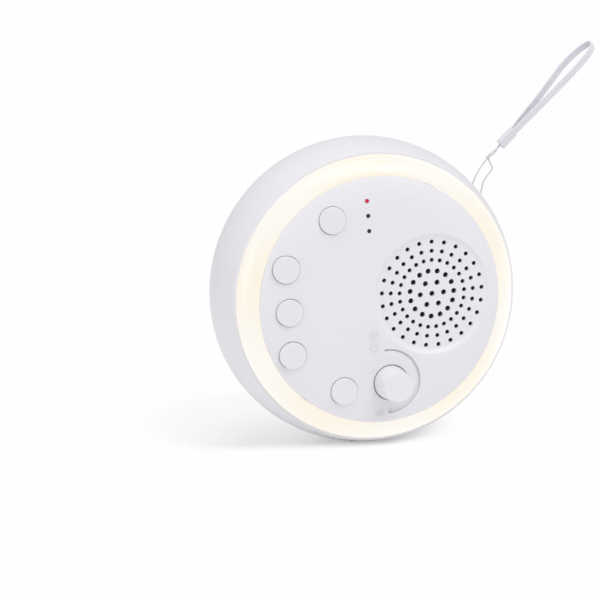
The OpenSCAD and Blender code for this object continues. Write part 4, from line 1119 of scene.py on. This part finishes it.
class SOUNDMACHINE_OT_front_panel(bpy.types.Operator):
    """Makes the domed control panel with its recess, sound holes, groove and raised marks"""
    bl_idname = "soundmachine.front_panel"
    bl_label = "Front panel"

    def execute(self, context):
        panel = settings().panel
        self.panel = panel
        self.face_y = -RING_RISE - panel.crown
        self.back_y = self.face_y + panel.thickness
        piece = self.shell()
        combine(piece, self.marks(), "UNION")
        for boss in self.bosses():
            combine(piece, boss, "UNION")
        combine(piece, self.recess(), "DIFFERENCE")
        combine(piece, self.groove(), "DIFFERENCE")
        combine(piece, self.holes(), "DIFFERENCE")
        finish = spark_eroded_abs("panel_spark_eroded_abs", tuple(panel.plastic))
        finished(smoothed(piece), ROOT, "panel_abs", finish, "front_panel")
        self.second_finishes(piece)
        return {"FINISHED"}

    def second_finishes(self, piece):
        """Gives the groove a darker finish that paints in the shade of its recess, and the proud
        faces of the marks a finish of their own.
        """
        panel = self.panel
        # The groove's faces get a darker finish, as painted shade in the recess
        for name, rgba, roughness in (("groove_painted_shade_abs", panel.groove, 0.6),
                                      ("mark_fine_matt_abs", panel.marks, 0.5)):
            piece.data.materials.append(spark_eroded_abs(name, tuple(rgba), roughness))
        for face in piece.data.polygons:
            x, z = aside(face.center)
            sunk = face.center.y - LIP_Y - self.face_y - self.drop(math.hypot(x, z))
            if NEAR < sunk < panel.groove_depth + NEAR and self.in_groove(x, z):
                face.material_index = 1
            elif sunk < NEAR - panel.mark_h:
                face.material_index = 2

    def in_groove(self, x, z):
        """Whether a point of the face lies in the crescent or on its wall."""
        kx, kz = aside(KNOB_AT)
        out = math.hypot(x - kx - GROOVE_AT[0], z - kz - GROOVE_AT[1])
        inside = math.hypot(x - kx - GROOVE_IN_AT[0], z - kz - GROOVE_IN_AT[1])
        return (out < self.panel.groove_r + NEAR and inside > self.panel.groove_in_r - NEAR
                and x < kx + GROOVE_END_X + NEAR)

    def bend(self):
        """The radius of the crowned rim, from the flat middle to the panel's edge."""
        width = PANEL_R - self.panel.flat_r
        return (width ** 2 + self.panel.crown ** 2) / (2 * self.panel.crown)

    def drop(self, reach):
        """How far the crowned face lies behind its flat middle at a distance from the axis."""
        bend = self.bend()
        past = max(0.0, reach - self.panel.flat_r)
        return bend - math.sqrt(bend ** 2 - past ** 2)

    def crown(self, shift=0.0, edge=0.0):
        """Points of the panel's front, moved back by shift, from its flat middle to its edge."""
        bend = self.bend()
        end = math.degrees(math.asin((PANEL_R - self.panel.flat_r - edge) / bend))
        return arc(self.panel.flat_r, self.face_y + bend + shift, bend, -90, -90 + end, CROWN_STEPS)

    def shell(self):
        """The crowned face with its skirt, and a small easing at its rim."""
        edge = self.panel.edge
        skirt_r = PANEL_R - self.panel.skirt
        profile = self.crown(edge=edge)
        radius, depth = profile[-1]
        profile += [(PANEL_R - edge * 0.3, depth + edge * 0.4), (PANEL_R, depth + edge)]
        profile += [(PANEL_R, RING_BACK), (skirt_r, RING_BACK), (skirt_r, self.back_y)]
        return turned("front_panel_moulded", profile, sides=RING_SIDES)

    def crown_block(self, shift):
        """All that lies behind the crowned face, moved back by shift."""
        return turned("crown_block", self.crown(shift) + [(PANEL_R, RING_BACK)], sides=RING_SIDES)

    def marks(self):
        """Sun marks for less and more light: a circle with rays, just proud of the face."""
        shapes = []
        root = self.back_y - BOSS_ROOT
        front = self.face_y - OVER
        for x, z, disc, reach in SUN_MARKS:
            inside = disc - MARK_LINE
            shapes.append(turned("circle", [(disc, front), (disc, root), (inside, root),
                                            (inside, front), (disc, front)],
                                 x, z, PIPE_SIDES, loop=True))
            for i in range(MARK_RAYS):
                ray = block("ray", at(disc + MARK_LINE, front, -MARK_LINE / 2),
                            at(reach, root, MARK_LINE / 2))
                turn = turned_about(0, 0, math.tau * i / MARK_RAYS)
                ray.data.transform(Matrix.Translation((x, 0, z)) @ turn)
                shapes.append(ray)
        return combine(gathered(shapes), self.crown_block(-self.panel.mark_h), "INTERSECT")

    def bosses(self):
        """The posts for the housing's screws and the bosses of the board and the speaker."""
        root = self.back_y - BOSS_ROOT
        posts = places_round(POST_TURNS, settings().housing.post_r)
        ears = places_round(EAR_TURNS, EAR_AT, *aside(SPEAKER_AT))
        groups = [(POST_R, POST_TOP, posts),
                  (BOSS_R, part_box("main_board")[0].y - LIP_Y, BOARD_SCREWS),
                  (BOSS_R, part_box("speaker_frame")[0].y - LIP_Y, ears)]
        return [gathered([turned("boss", [(radius, root), (radius, end)], x, z, SMALL_SIDES)
                          for x, z in places]) for radius, end, places in groups]

    def recess(self):
        """The shallow round recess: a wall that eases in and out, and a flat floor."""
        panel = self.panel
        floor_r = panel.dish_r - panel.dish_wall
        profile = [(panel.dish_r, self.face_y - OVER), (panel.dish_r, self.face_y)]
        for i in range(1, DISH_STEPS + 1):
            t = i / DISH_STEPS
            profile.append((panel.dish_r - panel.dish_wall * t,
                            self.face_y + panel.dish_depth / 2 * (1 - math.cos(math.pi * t))))
        x, z = aside(SPEAKER_AT)
        profile.append((floor_r * 0.9, self.face_y + panel.dish_depth))
        return turned("recess", profile, x, z, RING_SIDES)

    def groove(self):
        """The crescent groove beside the knob, thin at its upper end and widest at its lower one."""
        panel = self.panel
        x, z = aside(KNOB_AT)
        out_x, out_z = x + GROOVE_AT[0], z + GROOVE_AT[1]
        in_x, in_z = x + GROOVE_IN_AT[0], z + GROOVE_IN_AT[1]
        front, back = self.face_y - OVER, self.back_y
        piece = turned("groove", [(panel.groove_r, front), (panel.groove_r, back)],
                       out_x, out_z, GROOVE_SIDES)
        core = turned("core", [(panel.groove_in_r, front - OVER), (panel.groove_in_r, back + OVER)],
                      in_x, in_z, GROOVE_SIDES)
        combine(piece, core, "DIFFERENCE")
        end = x + GROOVE_END_X
        reach = 3 * panel.groove_r
        combine(piece, block("left_half", at(end - reach, front - OVER, z - reach),
                             at(end, back + OVER, z + reach)), "DIFFERENCE")
        return combine(piece, self.crown_block(panel.groove_depth), "DIFFERENCE")

    def holes(self):
        """The sound holes and the holes for the caps, the knob and the light pipes."""
        panel = self.panel
        x, z = aside(SPEAKER_AT)
        front, back, face = self.face_y - OVER, self.back_y + OVER, self.face_y
        floor = face + panel.dish_depth
        shapes = []
        for count, reach, radius in SOUND_RINGS:
            first = hole_form("sound_hole", x + reach, z, radius, front, back, panel.edge * 0.4,
                              floor, SOUND_SIDES)
            shapes.append(first)
            for i in range(1, count):
                shapes.append(copied(first, turned_about(x, z, -math.tau * i / count)))
        buttons = settings().buttons
        for name in BUTTONS:
            bx, bz = aside(box_middle("plunger_" + name))
            shapes.append(hole_form("button_hole", bx, bz, buttons.diameter / 2 + buttons.gap, front,
                                    back, panel.edge * 0.6, face + self.drop(math.hypot(bx, bz)),
                                    CAP_SIDES))
        kx, kz = aside(KNOB_AT)
        knob = settings().knob
        shapes.append(hole_form("knob_hole", kx, kz, knob.foot_d / 2 + knob.gap, front, back,
                                panel.edge, face, KNOB_SIDES))
        for px, pz in indicator_places():
            shapes.append(hole_form("pipe_hole", px, pz, PIPE_HOLE_R, front, back, panel.edge * 0.5,
                                    face + self.drop(math.hypot(px, pz)), PIPE_SIDES))
        return gathered(shapes)


def indicator_places():
    """Where the three light pipes stand, from the top down."""
    low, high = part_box("indicator_dark")
    lit = box_middle("indicator_lit")
    return [aside(lit), aside(Vector((lit.x, 0, high.z - PIPE_COLLAR_R))),
            aside(Vector((lit.x, 0, low.z + PIPE_COLLAR_R)))]


CROWN_STEPS = 24
DISH_STEPS = 12
BOSS_ROOT = 0.5 * MM
BOSS_R = 2.2 * MM
EAR_TURNS = [55, 125, 235, 305]
EAR_AT = 22.4 * MM
BOARD_SCREWS = [(-18 * MM, 12 * MM), (-18 * MM, -12 * MM), (6 * MM, 30 * MM), (-7.4 * MM, -33 * MM)]
# Right of and above the axis, radius of the circle and reach of the rays
SUN_MARKS = [(-3.6 * MM, -11.4 * MM, 1.0 * MM, 1.9 * MM),
             (-3.9 * MM, -15.8 * MM, 1.2 * MM, 2.2 * MM),
             (-3.1 * MM, -38.3 * MM, 0.85 * MM, 1.65 * MM)]
MARK_RAYS = 8
MARK_LINE = 0.3 * MM
# Count, distance from the recess's middle and radius of the sound holes
SOUND_RINGS = [(1, 0, 0.92 * MM), (6, 4.13 * MM, 0.92 * MM), (15, 7.77 * MM, 0.92 * MM),
               (25, 11.44 * MM, 0.75 * MM), (25, 14.55 * MM, 0.75 * MM), (25, 17.67 * MM, 0.75 * MM)]
GROOVE_AT = (-0.65 * MM, 0.5 * MM)
GROOVE_IN_AT = (-0.75 * MM, 1.15 * MM)
GROOVE_END_X = -1.5 * MM
# How near a face lies to the place that gives it its finish
NEAR = 0.05 * MM
PIPE_HOLE_R = 0.7 * MM
PIPE_COLLAR_R = 1.1 * MM


class SOUNDMACHINE_OT_buttons(bpy.types.Operator):
    """Makes the five push button caps"""
    bl_idname = "soundmachine.buttons"
    bl_label = "Buttons"

    def execute(self, context):
        buttons = settings().buttons
        finish = spark_eroded_abs("button_spark_eroded_abs", tuple(buttons.plastic), 0.38)
        for name in BUTTONS:
            node = "button_" + name
            piece = self.cap(node + "_cap", node, "plunger_" + name, buttons)
            finished(smoothed(piece), node, "button_abs", finish, node)
        return {"FINISHED"}

    def cap(self, name, node, plunger, buttons):
        """A hollow cap with an eased edge, a stem, and a flange trimmed to the panel's skirt."""
        panel = settings().panel
        x, z = aside(box_middle(plunger))
        low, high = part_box(node)
        face = low.y - LIP_Y
        stem_end = high.y - LIP_Y
        back_y = -RING_RISE - panel.crown + panel.thickness
        flange_y = back_y + FREE_GAP
        flange_end = flange_y + FLANGE_T
        radius = buttons.diameter / 2
        profile = arc(radius - buttons.edge, face + buttons.edge, buttons.edge, -90, 0, 6)
        profile += [(radius, flange_y), (radius + buttons.flange, flange_y),
                    (radius + buttons.flange, flange_end), (radius - buttons.shell, flange_end),
                    (radius - buttons.shell, face + buttons.shell), (STEM_R, face + buttons.shell),
                    (STEM_R, stem_end)]
        piece = turned(name, profile, x, z, CAP_SIDES)
        skirt = turned("skirt", [(PANEL_R - panel.skirt - FREE_GAP, face - OVER),
                                 (PANEL_R - panel.skirt - FREE_GAP, stem_end + OVER)])
        return combine(piece, skirt, "INTERSECT")


FREE_GAP = 0.3 * MM
FLANGE_T = 0.8 * MM
STEM_R = 1.6 * MM


class SOUNDMACHINE_OT_knob(bpy.types.Operator):
    """Makes the tapered turning knob"""
    bl_idname = "soundmachine.knob"
    bl_label = "Knob"

    def execute(self, context):
        knob = settings().knob
        panel = settings().panel
        x, z = aside(KNOB_AT)
        low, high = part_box("knob")
        face, foot = low.y - LIP_Y, high.y - LIP_Y
        end_r, foot_r = knob.end_d / 2, knob.foot_d / 2
        profile = arc(end_r - knob.edge, face + knob.edge, knob.edge, -90, 0, 8)
        profile += [(foot_r, -RING_RISE - panel.crown), (foot_r, foot)]
        piece = turned("knob_moulded", profile, x, z, KNOB_SIDES)
        shaft = knob.shaft_d / 2
        bore = turned("shaft_bore", [(shaft, face + KNOB_END_T), (shaft, foot + OVER)],
                      x, z, SHAFT_SIDES)
        flat = block("shaft_flat", at(x + shaft / 2, face, z - shaft),
                     at(x + 2 * shaft, foot + 2 * OVER, z + shaft))
        combine(piece, combine(bore, flat, "DIFFERENCE"), "DIFFERENCE")
        finish = spark_eroded_abs("knob_spark_eroded_abs", tuple(knob.plastic), 0.36)
        finished(smoothed(piece), "knob", "knob_abs", finish, "knob")
        return {"FINISHED"}


KNOB_END_T = 2.6 * MM


class SOUNDMACHINE_OT_indicators(bpy.types.Operator):
    """Finishes the light pipes and the small lamps behind them"""
    bl_idname = "soundmachine.indicators"
    bl_label = "Indicators"

    def execute(self, context):
        finish_nodes(lit_pipe("lit_red_acrylic", "#B80F2A", 0.22, 1.1), "indicator_lit")
        finish_nodes(speckled("smoked_acrylic", "#18181C", 0.5, 0.22, ior=1.49), "indicator_dark")
        finish_nodes(lit_pipe("lamp_phosphor", "#F0D868", 0.4), "indicator_lamps", "ring_lamps")
        return {"FINISHED"}


class SOUNDMACHINE_OT_speaker(bpy.types.Operator):
    """Finishes the speaker behind the sound holes"""
    bl_idname = "soundmachine.speaker"
    bl_label = "Speaker"

    def execute(self, context):
        finish_nodes(plain_weave("acoustic_polyester_cloth", "#0C0C0E", 0.3), "speaker_cloth")
        finish_nodes(speckled("closed_cell_foam", "#1B1B1D", 0.4, 0.9, 0.3, 0.08), "speaker_gasket",
                     "battery_pad")
        finish_nodes(speckled("moulded_nitrile_rubber", "#141416", 0.8, 0.6), "speaker_surround")
        finish_nodes(speckled("pressed_paper_pulp", "#1F1F22", 0.5, 0.85, 0.2, 0.05), "speaker_cone",
                     "speaker_dust_cap")
        finish_nodes(plain_weave("phenolic_cotton", "#B58A3C", 0.4, 0.7), "speaker_spider")
        finish_nodes(plated_metal("enamelled_copper_wire", "#B5683A", 0.25, 0.15), "voice_coil")
        finish_nodes(plated_metal("nickel_plated_steel", "#B9BABD"), "speaker_frame",
                     "speaker_top_plate", "speaker_yoke", "knob_shaft", "usb_shell")
        finish_nodes(speckled("sintered_ferrite", "#2A2A2C", 0.5, 0.55, 0.15), "speaker_magnet")
        return {"FINISHED"}


class SOUNDMACHINE_OT_electronics(bpy.types.Operator):
    """Finishes the boards, the switches, the battery, the leads and the screws"""
    bl_idname = "soundmachine.electronics"
    bl_label = "Electronics"

    def execute(self, context):
        finish_nodes(glass_epoxy("solder_masked_glass_epoxy"), "main_board", "ring_board",
                     "battery_board", "charge_board")
        finish_nodes(speckled("moulded_epoxy", "#1A1A1C", 0.3, 0.6), "board_parts", "charge_parts")
        finish_nodes(speckled("natural_nylon", "#E2DFD4", 0.6, 0.5, 0.05, ior=1.53), "board_sockets",
                     *["plunger_" + name for name in BUTTONS])
        finish_nodes(speckled("black_polyester_resin", "#1C1C1E", 0.4, 0.45), "switch_bodies",
                     "potentiometer", "usb_tongue")
        finish_nodes(plated_metal("zinc_plated_steel", "#A9ABAE", 0.34), "housing_screws",
                     "board_screws", "speaker_screws")
        finish_nodes(plated_metal("drawn_steel_can", "#B4B5B8", 0.3, 0.9), "battery_cell")
        finish_nodes(speckled("shrunk_film", "#3A6EA5", 2.0, 0.3, 0.05, ior=1.54), "battery_sleeve")
        for node, hex_colour in (("battery_leads", "#B3261E"), ("link_leads", "#C7661A"),
                                 ("speaker_leads", "#3B4A9A"), ("ring_leads", "#6F7A1E")):
            finish = speckled("insulation_of_" + node, hex_colour, 1.0, 0.4, 0.06, ior=1.53)
            finish_nodes(finish, node)
        return {"FINISHED"}


class SOUNDMACHINE_PT_panel(bpy.types.Panel):
    """Lists the steps that build the sound machine"""
    bl_idname = "SOUNDMACHINE_PT_panel"
    bl_label = "Sound Machine"
    bl_space_type = "VIEW_3D"
    bl_region_type = "UI"
    bl_category = "Sound Machine"

    def draw(self, context):
        for operator in OPERATORS:
            self.layout.operator(operator.bl_idname)


# In the order in which they are run: the camera and the cords come first
OPERATORS = (SOUNDMACHINE_OT_stage, SOUNDMACHINE_OT_strap, SOUNDMACHINE_OT_housing,
             SOUNDMACHINE_OT_light_ring, SOUNDMACHINE_OT_front_panel, SOUNDMACHINE_OT_buttons,
             SOUNDMACHINE_OT_knob, SOUNDMACHINE_OT_indicators, SOUNDMACHINE_OT_speaker,
             SOUNDMACHINE_OT_electronics)
SETTINGS = (StageSettings, HousingSettings, RingSettings, PanelSettings, ButtonSettings,
            KnobSettings, StrapSettings, SoundMachineSettings)


def register():
    for cls in SETTINGS + OPERATORS + (SOUNDMACHINE_PT_panel,):
        bpy.utils.register_class(cls)
    bpy.types.Scene.sound_machine = bpy.props.PointerProperty(type=SoundMachineSettings)


def unregister():
    del bpy.types.Scene.sound_machine
    for cls in reversed(SETTINGS + OPERATORS + (SOUNDMACHINE_PT_panel,)):
        bpy.utils.unregister_class(cls)


def main():
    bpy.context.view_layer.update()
    register()
    bpy.ops.soundmachine.stage()
    bpy.ops.soundmachine.strap()
    bpy.ops.soundmachine.housing()
    bpy.ops.soundmachine.light_ring()
    bpy.ops.soundmachine.front_panel()
    bpy.ops.soundmachine.buttons()
    bpy.ops.soundmachine.knob()
    bpy.ops.soundmachine.indicators()
    bpy.ops.soundmachine.speaker()
    bpy.ops.soundmachine.electronics()


if __name__ == "__main__":
    main()
